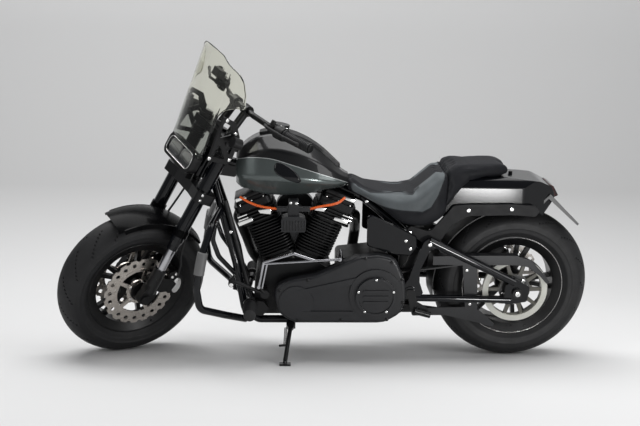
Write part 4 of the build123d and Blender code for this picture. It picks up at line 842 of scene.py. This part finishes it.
def makeSeat(node, s):
    seat = inflated(node, s)
    back = parked.inverted()
    share = seat.data.attributes.new("pale_and_lit_band", "FLOAT", "POINT")
    for index, vert in enumerate(seat.data.vertices):
        share.data[index].value = paleAndLitBandShare(back @ vert.co, s) if node == "rider_seat" else 0.0
    for polygon in seat.data.polygons:
        polygon.use_smooth = True
    seat.data.materials.clear()
    seat.data.materials.append(materials["seat_vinyl"])
    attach(seat, "chassis")
    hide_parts(node)
    return seat


seats = {node: makeSeat(node, seatLooks) for node in ("rider_seat", "pillion_seat")}


def seamOn(name, seat, points, side, s):
    tree = BVHTree.FromObject(seat, bpy.context.evaluated_depsgraph_get())
    sight = parked.to_3x3() @ Vector((0, -side, 0))
    spots = []
    for x, z in points:
        hit, normal = tree.ray_cast(parked @ Vector((x, side * 0.5, z)), sight)[:2]
        if hit is not None:
            spots.append(hit - normal * s["seamSunk"])
    linkPiece(name, tubeMesh(spots, s["seam"], 4), "seat_vinyl", "chassis", 60)


def finerRoute(points, steps):
    route = []
    for (x0, z0), (x1, z1) in zip(points, points[1:]):
        route += [(x0 + (x1 - x0) * k / steps, z0 + (z1 - z0) * k / steps) for k in range(steps)]
    return route + [points[-1]]


for sideName, side in (("left", -1), ("right", 1)):
    for edgeName in ("high", "low"):
        route = finerRoute(seatLooks[edgeName][1:-1], 6)
        seamOn("seat-seam-%s-%s" % (edgeName, sideName), seats["rider_seat"], route, side, seatLooks)
    route = finerRoute(seatLooks["pillionSeam"], 8)
    seamOn("pillion-seam-" + sideName, seats["pillion_seat"], route, side, seatLooks)
print("seats")

# engine: machined pads and fin tips on each head, a lid on each rocker cover, ribs on the coil case
engineLooks = {"crank": (0.688, 0, 0.300), "half": 22.5, "face": 0.092, "lid": (0.446, 0.467),
               "frontPads": (((-0.101, 0.356), (-0.101, 0.372), (-0.038, 0.373), (-0.038, 0.357)),
                             ((0.000, 0.376), (-0.003, 0.391), (0.049, 0.379), (0.040, 0.355))),
               "rearPads": (((0.024, 0.357), (0.024, 0.371), (0.082, 0.377), (0.084, 0.360)),
                            ((-0.064, 0.365), (-0.060, 0.383), (-0.024, 0.390), (-0.026, 0.374))),
               "finLevels": (0.3775, 0.3915), "finTips": (0.052, 0.094), "finThick": 0.0052,
               "lidHalf": 0.066, "lidScrews": (-0.052, 0.0, 0.052), "lidScrewPlace": (0.014, 0.076, 0.432),
               "lidEnds": (0.080, -0.050)}


def cylinderPlace(lean, s):
    return parked @ moved(s["crank"]) @ turned(lean, "Y")


def blockOf(bm, low, high, bevel=0.002):
    outline = [(low[0], low[2]), (high[0], low[2]), (high[0], high[2]), (low[0], high[2])]
    plate(bm, outline, low[1], high[1], bevel)


def makeHeadTrim(s):
    for prefix, out, pads in (("front", -1, s["frontPads"]), ("rear", 1, s["rearPads"])):
        place = cylinderPlace(out * s["half"], s)
        bright, dark = bmesh.new(), bmesh.new()
        for side in (-1, 1):
            face = s["face"]
            for outline in pads:
                plate(bright, outline, *sorted((side * (face - 0.012), side * (face + 0.0035))), 0.0012)
            for level in s["finLevels"]:
                start, end = s["finTips"]
                tip = ((out * start, level - s["finThick"] / 2), (out * end, level - s["finThick"] / 2),
                       (out * end, level + s["finThick"] / 2), (out * start, level + s["finThick"] / 2))
                plate(bright, tip, *sorted((side * (face - 0.004), side * (face + 0.0008))), 0.0005)
            low, high = s["lid"]
            strip = ((out * 0.030, low + 0.003), (out * 0.078, low + 0.003), (out * 0.076, high - 0.004),
                     (out * 0.034, high - 0.006))
            plate(bright, strip, *sorted((side * (s["lidHalf"] - 0.004), side * (s["lidHalf"] + 0.0012))),
                  0.0008)
            x, y, z = s["lidScrewPlace"]
            for u in s["lidScrews"]:
                spot = place @ moved((u + out * x, side * y, z)) @ turned(-90, "X")
                socketScrew(dark, spot, 0.0048, 0.006)
        ends = sorted(out * end for end in s["lidEnds"])
        lid = bmesh.new()
        blockOf(lid, (ends[0], -s["lidHalf"], s["lid"][0] - 0.002), (ends[1], s["lidHalf"], s["lid"][1]),
                0.007)
        addPiece(prefix + "-rocker-lid", lid, "satin_black", "chassis", place)
        addPiece(prefix + "-head-machined-pads", bright, "bare_silver", "chassis", place)
        addPiece(prefix + "-rocker-screws", dark, "bright_steel", "chassis")


makeHeadTrim(engineLooks)

coilRibs = {"count": 8, "start": 0.640, "pitch": 0.012, "thick": 0.004, "out": (-0.1625, -0.158),
            "heights": (0.592, 0.634), "bevel": 0.0008}


def makeCoilRibs(s):
    bm = bmesh.new()
    for k in range(s["count"]):
        x = s["start"] + s["pitch"] * k
        (low, high), (foot, top) = s["out"], s["heights"]
        blockOf(bm, (x, low, foot), (x + s["thick"], high, top), s["bevel"])
    addPiece("coil-case-ribs", bm, "black_plastic", "chassis", parked)


makeCoilRibs(coilRibs)

# screws: each lands on the nodes named in "on"; those with "right" are also set from the bike's right side
screwSets = {
    "strut": dict(spots=((1.160, 0.577), (1.241, 0.539), (1.400, 0.675), (1.579, 0.681)), radius=0.0085,
                  height=0.006, on=("fender_struts", "swingarm"), right=("fender_struts",)),
    "side-cover": dict(spots=((1.144, 0.548), (1.164, 0.513)), radius=0.0065, height=0.004,
                       on=("side_covers",), right=("side_covers",)),
    "belt-guard": dict(spots=((1.405, 0.419), (1.425, 0.270)), radius=0.0062, height=0.004,
                       on=("belt_guards", "swingarm")),
    "coil": dict(spots=((0.669, 0.708), (0.692, 0.706)), radius=0.0058, height=0.005, on=("coil_cover",)),
    "rail": dict(spots=((0.424, 0.572), (0.985, 0.690)), radius=0.0068, height=0.005, on=("frame_rails",)),
    "primary": dict(spots=((0.974, 0.490), (1.083, 0.474), (1.128, 0.400), (1.134, 0.300), (1.070, 0.226),
                           (0.880, 0.222), (0.700, 0.222), (0.620, 0.262), (0.624, 0.350), (0.740, 0.396)),
                    radius=0.0068, height=0.005, on=("primary_cover",), material="satin_black"),
    "derby": dict(circle=(1.020, 0.330, 0.076, (90, 18, -54, -126, 162)), radius=0.0050, height=0.0035,
                  on=("clutch_cover",)),
    "screen-bracket": dict(spots=((-0.076, 0.838), (-0.012, 0.800), (-0.066, 0.668), (0.022, 0.690)),
                           radius=0.0078, height=0.006, on=("screen_brackets",), right=("screen_brackets",),
                           body="steering"),
    "yoke": dict(spots=((-0.012, 0.514), (-0.012, 0.490)), radius=0.0062, height=0.005, on=("triple_clamps",),
                 right=("triple_clamps",), body="steering"),
    "caliper": dict(spots=((0.094, 0.112), (0.104, 0.130)), radius=0.0070, height=0.005,
                    on=("front_calipers",), right=("front_calipers",), body="steering"),
}


def onCircle(x, z, radius, angles):
    return [(x + radius * math.cos(math.radians(a)), z + radius * math.sin(math.radians(a))) for a in angles]


def setScrews(prefix, name, s, names, sight):
    spots = s["spots"] if "spots" in s else onCircle(*s["circle"])
    body = s.get("body", "chassis")
    place = parked if body == "chassis" else forkPlace
    material = s.get("material", "bare_silver")
    addScrews(prefix + name + "-screws", spots, s["radius"], s["height"], material, body, place, names, sight)


for name, screwSet in screwSets.items():
    setScrews("", name, screwSet, screwSet["on"], (0, 1, 0))
for name, screwSet in screwSets.items():
    if "right" in screwSet:
        setScrews("right-", name, screwSet, screwSet["right"], (0, -1, 0))
print("engine trim and screws")

# screen: the sheet's top corners are trimmed, its top edge is domed and its polished edge shows dark
screenLooks = {"foot": (-0.124, 0, 0.640), "tilt": -9.5, "radius": 0.238, "edge": 0.0014, "top": 0.412,
               "slope": 0.42, "corner": 0.446, "liftFrom": 0.37, "lift": 0.016, "liftHalf": 0.11,
               "half": ((0.129, -0.003), (0.138, 0.040), (0.138, 0.190), (0.150, 0.222), (0.174, 0.247),
                        (0.198, 0.258), (0.192, 0.312), (0.178, 0.356), (0.162, 0.375), (0.150, 0.383),
                        (0.120, 0.3956), (0.110, 0.3998), (0.098, 0.4083), (0.080, 0.4195), (0.060, 0.4232),
                        (0.040, 0.4259), (0.0, 0.4260))}


def makeScreen(s):
    stand = forkPlace @ moved(s["foot"]) @ turned(s["tilt"], "Y")
    bm = bmesh.new()
    bm.from_mesh(nodes["windscreen"].data)
    bmesh.ops.remove_doubles(bm, verts=bm.verts, dist=0.00005)
    for slope, reach in ((0, s["top"]), (s["slope"], s["corner"]), (-s["slope"], s["corner"])):
        across = (stand.to_3x3() @ Vector((0, slope, 1))).normalized()
        start = stand @ Vector((0, 0, reach))
        everything = bm.verts[:] + bm.edges[:] + bm.faces[:]
        cut = bmesh.ops.bisect_plane(bm, geom=everything, plane_co=start, plane_no=across,
                                     clear_outer=True)["geom_cut"]
        rim = [edge for edge in cut if isinstance(edge, bmesh.types.BMEdge) and edge.is_boundary]
        bmesh.ops.holes_fill(bm, edges=rim, sides=0)
    for vert in bm.verts:
        spot = stand.inverted() @ vert.co
        if spot.z > s["liftFrom"]:  # only the top edge
            spot.z += s["lift"] * max(0.0, 1 - (spot.y / s["liftHalf"]) ** 2)
            vert.co = stand @ spot
    sheet = addPiece("screen-sheet", bm, "smoke", "steering", None, 30)
    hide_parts("windscreen")
    radius = s["radius"]
    fine = [Vector((radius - math.sqrt(radius ** 2 - y * y), y, z)) for y, z in finerRoute(s["half"], 4)]
    whole = fine + [Vector((p.x, -p.y, p.z)) for p in reversed(fine[:-1])]
    addTube("screen-edge", whole, s["edge"], "satin_black", "steering", stand, 4)


makeScreen(screenLooks)

# calipers: a bare oval pad on each, with no marks
padLooks = {"spot": (0.132, 0, 0.080), "middle": (0.133, 0.080), "half": (0.020, 0.036), "slant": 0.006,
            "sunk": 0.004, "proud": 0.0018, "bevel": 0.0008, "sides": 24}


def makeCaliperPads(s):
    bm = bmesh.new()
    (x, z), (halfX, halfZ) = s["middle"], s["half"]
    angles = [2 * math.pi * k / s["sides"] for k in range(s["sides"])]
    oval = [(x + halfX * math.cos(a) - s["slant"] * math.sin(a), z + halfZ * math.sin(a)) for a in angles]
    for sight in (1, -1):
        face = landing(("front_calipers",), forkPlace, s["spot"], (0, sight, 0))[0].y
        plate(bm, oval, *sorted((face + sight * s["sunk"], face - sight * s["proud"])), s["bevel"])
    addPiece("caliper-plain-pads", bm, "bare_silver", "steering", forkPlace)


makeCaliperPads(padLooks)

# loom: a sheathed bundle behind the left downtube, and the tray that carries it under the tank
loomLooks = {"route": ((0.404, -0.104, 0.700), (0.430, -0.106, 0.600), (0.459, -0.107, 0.480),
                       (0.492, -0.107, 0.350), (0.512, -0.104, 0.290)),
             "radius": 0.0095, "ties": (0.12, 0.38, 0.64, 0.88),
             "tray": ((0.585, -0.046, 0.722), (0.800, 0.046, 0.744))}


def makeLoom(s):
    addTube("downtube-loom", s["route"], s["radius"], "rubber", "chassis", parked, 8)
    bm = bmesh.new()
    route = [Vector(point) for point in s["route"]]
    whole = len(route) - 1
    for share in s["ties"]:
        index = min(whole - 1, int(share * whole))
        spot = route[index].lerp(route[index + 1], share * whole - index)
        run = (route[index + 1] - route[index]).normalized()
        addRing(bm, s["radius"] + 0.0004, 0.0016, moved(spot) @ swung((0, 1, 0), run), 28)
    addPiece("loom-ties", bm, "black_plastic", "chassis", parked)
    tray = bmesh.new()
    blockOf(tray, *s["tray"], 0.006)
    addPiece("loom-tray", tray, "black_plastic", "chassis", parked)


makeLoom(loomLooks)

# guard: a grey sleeve on the outer run of each loop
sleeveLooks = {"points": ((0.322, -0.3155, 0.545), (0.3145, -0.3185, 0.512), (0.306, -0.327, 0.458)),
               "radius": 0.0212}
for side, sideName in ((-1, "left"), (1, "right")):
    route = [(x, -side * y, z) for x, y, z in sleeveLooks["points"]]
    addTube("guard-sleeve-" + sideName, route, sleeveLooks["radius"], "sleeve_grey", "chassis", parked, 16)

# grips, controls and pegs: rubber rings, keys, and screws on the clamps
handLooks = {"start": 0.291, "end": 0.398, "rings": 15, "ringRadius": 0.0197, "ringThick": 0.0013,
             "pegX": 0.506, "pegZ": 0.284, "pegRings": 9, "pegStart": 0.214, "pegPitch": 0.012,
             "pegRadius": 0.0236, "pegEnds": (0.200, 0.318), "pegEndRadius": 0.0245,
             "toeX": 0.431, "toeZ": 0.397, "toeRings": 5, "toeStart": 0.222, "toePitch": 0.009,
             "toeRadius": 0.0112, "toeEnd": 0.268, "toeEndRadius": 0.0085, "barEnd": 0.4085,
             "keys": ((0.012, 0.252), (0.000, 0.262), (-0.012, 0.272)), "keyOut": 0.0262,
             "keyCorners": ((-0.005, -0.003, -0.004), (0.005, 0.004, 0.004)),
             "clampScrews": (((0.218, 0.234), (-0.0185, 0, 0.003), (-1, 0, 0.15), 0.0036),
                             ((0.250, 0.275), (0, 0, 0.0262), (0, 0, 1), 0.0034)),
             "barFrom": (0.100, 0.250, 0.890), "barTo": (0.152, 0.405, 0.910)}


def alongBar(side, reach):
    start, end = Vector(handLooks["barFrom"]), Vector(handLooks["barTo"])
    spot = start.lerp(end, (reach - start.y) / (end.y - start.y))
    return Vector((spot.x, side * reach, spot.z))


def makeHandTrim(s):
    for side, sideName in ((-1, "left"), (1, "right")):
        run = (alongBar(side, 0.4) - alongBar(side, 0.3)).normalized()
        bm = bmesh.new()
        for k in range(s["rings"]):
            middle = alongBar(side, s["start"] + (s["end"] - s["start"]) * k / (s["rings"] - 1))
            addRing(bm, s["ringRadius"], s["ringThick"], moved(middle) @ swung((0, 1, 0), run))
        addPiece("grip-rings-" + sideName, bm, "rubber", "steering", forkPlace)
        bm = bmesh.new()
        end = alongBar(side, s["barEnd"])
        barrel(bm, 0.0165, -0.006, 0.002, facing(end, run), 32, 0.002)
        addPiece("bar-end-" + sideName, bm, "satin_black", "steering", forkPlace)
        bm = bmesh.new()
        for reaches, offset, outward, radius in s["clampScrews"]:
            for reach in reaches:
                socketScrew(bm, facing(alongBar(side, reach) + Vector(offset), outward), radius, 0.004)
        addPiece("control-screws-" + sideName, bm, "bare_silver", "steering", forkPlace)
        bm = bmesh.new()
        for up, out in s["keys"]:
            spot = alongBar(side, out) + Vector((s["keyOut"], 0, up))
            before = set(bm.verts)
            blockOf(bm, *s["keyCorners"], 0.001)
            key = [vert for vert in bm.verts if vert not in before]
            bmesh.ops.transform(bm, matrix=facing(spot, (1, 0, up / 0.030)), verts=key)
        addPiece("switch-keys-" + sideName, bm, "black_plastic", "steering", forkPlace)
        bm = bmesh.new()
        for k in range(s["pegRings"]):
            y = side * (s["pegStart"] + s["pegPitch"] * k)
            addRing(bm, s["pegRadius"], 0.0018, moved((s["pegX"], y, s["pegZ"])))
        for y in s["pegEnds"]:
            turn = moved((s["pegX"], side * y, s["pegZ"])) @ turned(0 if side < 0 else 180, "X")
            barrel(bm, s["pegEndRadius"], -0.002, 0.002, turn, 40, 0.001)
        addPiece("peg-rubber-" + sideName, bm, "rubber", "chassis", parked)
    bm = bmesh.new()
    for k in range(s["toeRings"]):
        spot = moved((s["toeX"], -s["toeStart"] - s["toePitch"] * k, s["toeZ"]))
        addRing(bm, s["toeRadius"], 0.0014, spot, 28)
    addPiece("toe-peg-rings", bm, "rubber", "chassis", parked)
    bm = bmesh.new()
    spot = moved((s["toeX"], -s["toeEnd"], s["toeZ"]))
    barrel(bm, s["toeEndRadius"], -0.0035, 0.001, spot, 24, 0.001)
    addPiece("toe-peg-end", bm, "bare_silver", "chassis", parked)


makeHandTrim(handLooks)

# side stand: a coiled spring from the mount to the leg
springLooks = {"pivot": (0.674, -0.152, 0.176), "foot": (0.650, -0.286, 0.0), "turns": 16, "steps": 10,
               "coil": 0.0062, "wire": 0.0012, "top": (-0.020, -0.008, -0.006), "hook": (-0.015, -0.004, 0),
               "down": 0.078}


def makeSpring(s):
    top, foot = Vector(s["pivot"]), Vector(s["foot"])
    leg = (foot - top).normalized()
    start, end = top + Vector(s["top"]), top + leg * s["down"] + Vector(s["hook"])
    run = end - start
    turn = swung((0, 0, 1), run)
    route = []
    for k in range(s["turns"] * s["steps"] + 1):
        a = 2 * math.pi * k / s["steps"]
        along = run.length * k / (s["turns"] * s["steps"])
        route.append(start + turn @ Vector((s["coil"] * math.cos(a), s["coil"] * math.sin(a), along)))
    addTube("stand-spring", route, s["wire"], "satin_black", "side_stand", parked, 6)


makeSpring(springLooks)

# rear hub: a small bright nut on a dark end
nutLooks = {"spot": (0.004, 0, 0.002), "radius": 0.011, "height": 0.006}


def makeAxleNut(s):
    bm = bmesh.new()
    face = landing(("rear_axle",), rearHub, s["spot"])[0].y
    socketScrew(bm, facing(Vector((0, face, 0)), (0, -1, 0)), s["radius"], s["height"])
    addPiece("rear-axle-nut", bm, "bare_silver", "chassis", rearHub)


makeAxleNut(nutLooks)

# tail: the blank plate with its screws, and the knob behind the pillion seat
tailLooks = {"low": (1.874, 0.6065), "high": (1.747, 0.7275), "half": 0.084, "knob": (1.592, 0, 0.806),
             "corner": 0.008, "thick": 0.0016, "rim": 0.004, "tallShare": 0.46, "screws": (0.72, 0.058),
             "screwRadius": 0.0042, "screwHeight": 0.003,
             "knobParts": ((0.0085, -0.006, 0.008, 0.001), (0.0135, 0.006, 0.025, 0.004))}


def makeTail(s):
    low, high = Vector((s["low"][0], 0, s["low"][1])), Vector((s["high"][0], 0, s["high"][1]))
    run = (high - low).normalized()
    out = Vector((run.z, 0, -run.x))
    out = out if out.x > 0 else -out
    stand = Matrix((run, Vector((0, 1, 0)), run.cross(Vector((0, 1, 0))))).transposed().to_4x4()
    stand.translation = low.lerp(high, 0.52) + out * 0.001
    bm = bmesh.new()
    tall = (high - low).length * s["tallShare"]
    face = bm.faces.new([bm.verts.new((x, y, 0)) for x, y in roundedOutline(tall, s["half"], s["corner"], 4)])
    grown = newVerts(bmesh.ops.extrude_face_region(bm, geom=[face])["geom"])
    bmesh.ops.translate(bm, vec=(0, 0, s["thick"]), verts=grown)
    away = (stand.to_3x3() @ Vector((0, 0, 1))).dot(out)
    if away < 0:
        bmesh.ops.scale(bm, vec=(1, 1, -1), verts=bm.verts)
    plateTop = [f for f in bm.faces if len(f.verts) > 6]
    bmesh.ops.inset_individual(bm, faces=plateTop, thickness=s["rim"], depth=0)
    addPiece("blank-plate", bm, "plate_blank", "chassis", parked @ stand)
    bm = bmesh.new()
    for sx in (-1, 1):
        for sy in (-1, 1):
            spot = stand @ Vector((sx * tall * s["screws"][0], sy * s["screws"][1], 0)) + out * 0.0015
            socketScrew(bm, facing(spot, out), s["screwRadius"], s["screwHeight"])
    addPiece("plate-screws", bm, "bare_silver", "chassis", parked)
    bm = bmesh.new()
    knobPlace = parked @ moved(s["knob"]) @ turned(90, "X") @ turned(180, "X")
    for radius, low, high, bevel in s["knobParts"]:
        barrel(bm, radius, low, high, knobPlace, 28, bevel)
    addPiece("pillion-knob", bm, "satin_black", "chassis")


makeTail(tailLooks)
print("controls, stand and tail")

# floor, backdrop and lamps
stageSettings = {"front": -6.0, "back": 3.2, "height": 4.5, "half": 9.0, "curve": 1.6, "steps": 24,
                 "fade": 2.6, "floor": (0.72, 0.72, 0.72), "shadedMid": (0.50, 0.50, 0.50),
                 "wall": (0.66, 0.66, 0.66)}


def makeStage(s):
    bm = bmesh.new()
    edge = [(s["front"], 0), (s["back"] - s["curve"], 0)]
    for step in range(1, s["steps"] + 1):
        angle = math.pi / 2 * step / s["steps"]
        edge.append((s["back"] - s["curve"] * (1 - math.sin(angle)), s["curve"] * (1 - math.cos(angle))))
    edge.append((s["back"], s["height"]))
    row = [bm.verts.new((-s["half"], y, z)) for y, z in edge]
    edges = [bm.edges.new(pair) for pair in zip(row, row[1:])]
    grown = newVerts(bmesh.ops.extrude_edge_only(bm, edges=edges)["geom"])
    bmesh.ops.translate(bm, vec=(2 * s["half"], 0, 0), verts=grown)
    mesh = bpy.data.meshes.new("sweep")
    bm.to_mesh(mesh)
    bm.free()
    for polygon in mesh.polygons:
        polygon.use_smooth = True
    sweep = bpy.data.objects.new("sweep", mesh)
    bpy.context.scene.collection.objects.link(sweep)
    material, tree, shader = startMaterial("studio-paper", {"Roughness": 0.9, "Specular IOR Level": 0.0})
    height = split(tree, objectPoint(tree))["Z"]
    # the grey dips lowest a little above the floor: painted shade low on the backdrop
    stops = [(0.0, s["floor"]), (1.0, s["wall"]), (0.2, s["shadedMid"])]
    grey = colourRamp(tree, spread(tree, height, 0, 1, 0.0, s["fade"]), stops)
    tree.links.new(grey, shader.inputs["Base Color"])
    through = tree.nodes.new("ShaderNodeBsdfTransparent")  # the back of the sheet is not there
    geometry = tree.nodes.new("ShaderNodeNewGeometry")
    choose = tree.nodes.new("ShaderNodeMixShader")
    tree.links.new(geometry.outputs["Backfacing"], choose.inputs["Fac"])
    tree.links.new(shader.outputs["BSDF"], choose.inputs[1])
    tree.links.new(through.outputs["BSDF"], choose.inputs[2])
    tree.links.new(choose.outputs["Shader"], tree.nodes["Material Output"].inputs["Surface"])
    mesh.materials.append(material)


makeStage(stageSettings)

# each panel: place, target, size, power and whether it lights everything or only makes highlights
lampSettings = {"sky": (0.80, 0.81, 0.83), "skyStrength": 0.26,
                "panels": [((0.2, 0.3, 4.3), (0.1, 0, 0.4), (7.5, 2.4), 240, "all"),
                           ((-3.6, -3.4, 2.4), (-0.3, 0, 0.5), (2.2, 2.2), 42, "all"),
                           ((3.8, -3.0, 2.2), (0.4, 0, 0.5), (2.0, 2.2), 62, "all"),
                           ((0.99, -1.75, 0.12), (0.76, -0.05, 0.72), (0.32, 0.26), 19, "shine")]}


def makeLamps(s):
    world = bpy.data.worlds.new("sky")
    bpy.context.scene.world = world
    world.use_nodes = True
    background = world.node_tree.nodes["Background"]
    background.inputs["Color"].default_value = (*s["sky"], 1)
    background.inputs["Strength"].default_value = s["skyStrength"]
    for number, (place, target, size, power, kind) in enumerate(s["panels"]):
        data = bpy.data.lights.new("panel%d" % number, "AREA")
        data.shape = "RECTANGLE"
        data.size, data.size_y = size
        data.energy = power
        lamp = bpy.data.objects.new("panel%d" % number, data)
        bpy.context.scene.collection.objects.link(lamp)
        sight = (Vector(target) - Vector(place)).to_track_quat("-Z", "Y")
        lamp.matrix_world = moved(place) @ sight.to_matrix().to_4x4()
        lamp.visible_camera = False
        lamp.visible_diffuse = kind == "all"


makeLamps(lampSettings)
bpy.context.scene.view_settings.view_transform = "Standard"
print("stage and lamps")
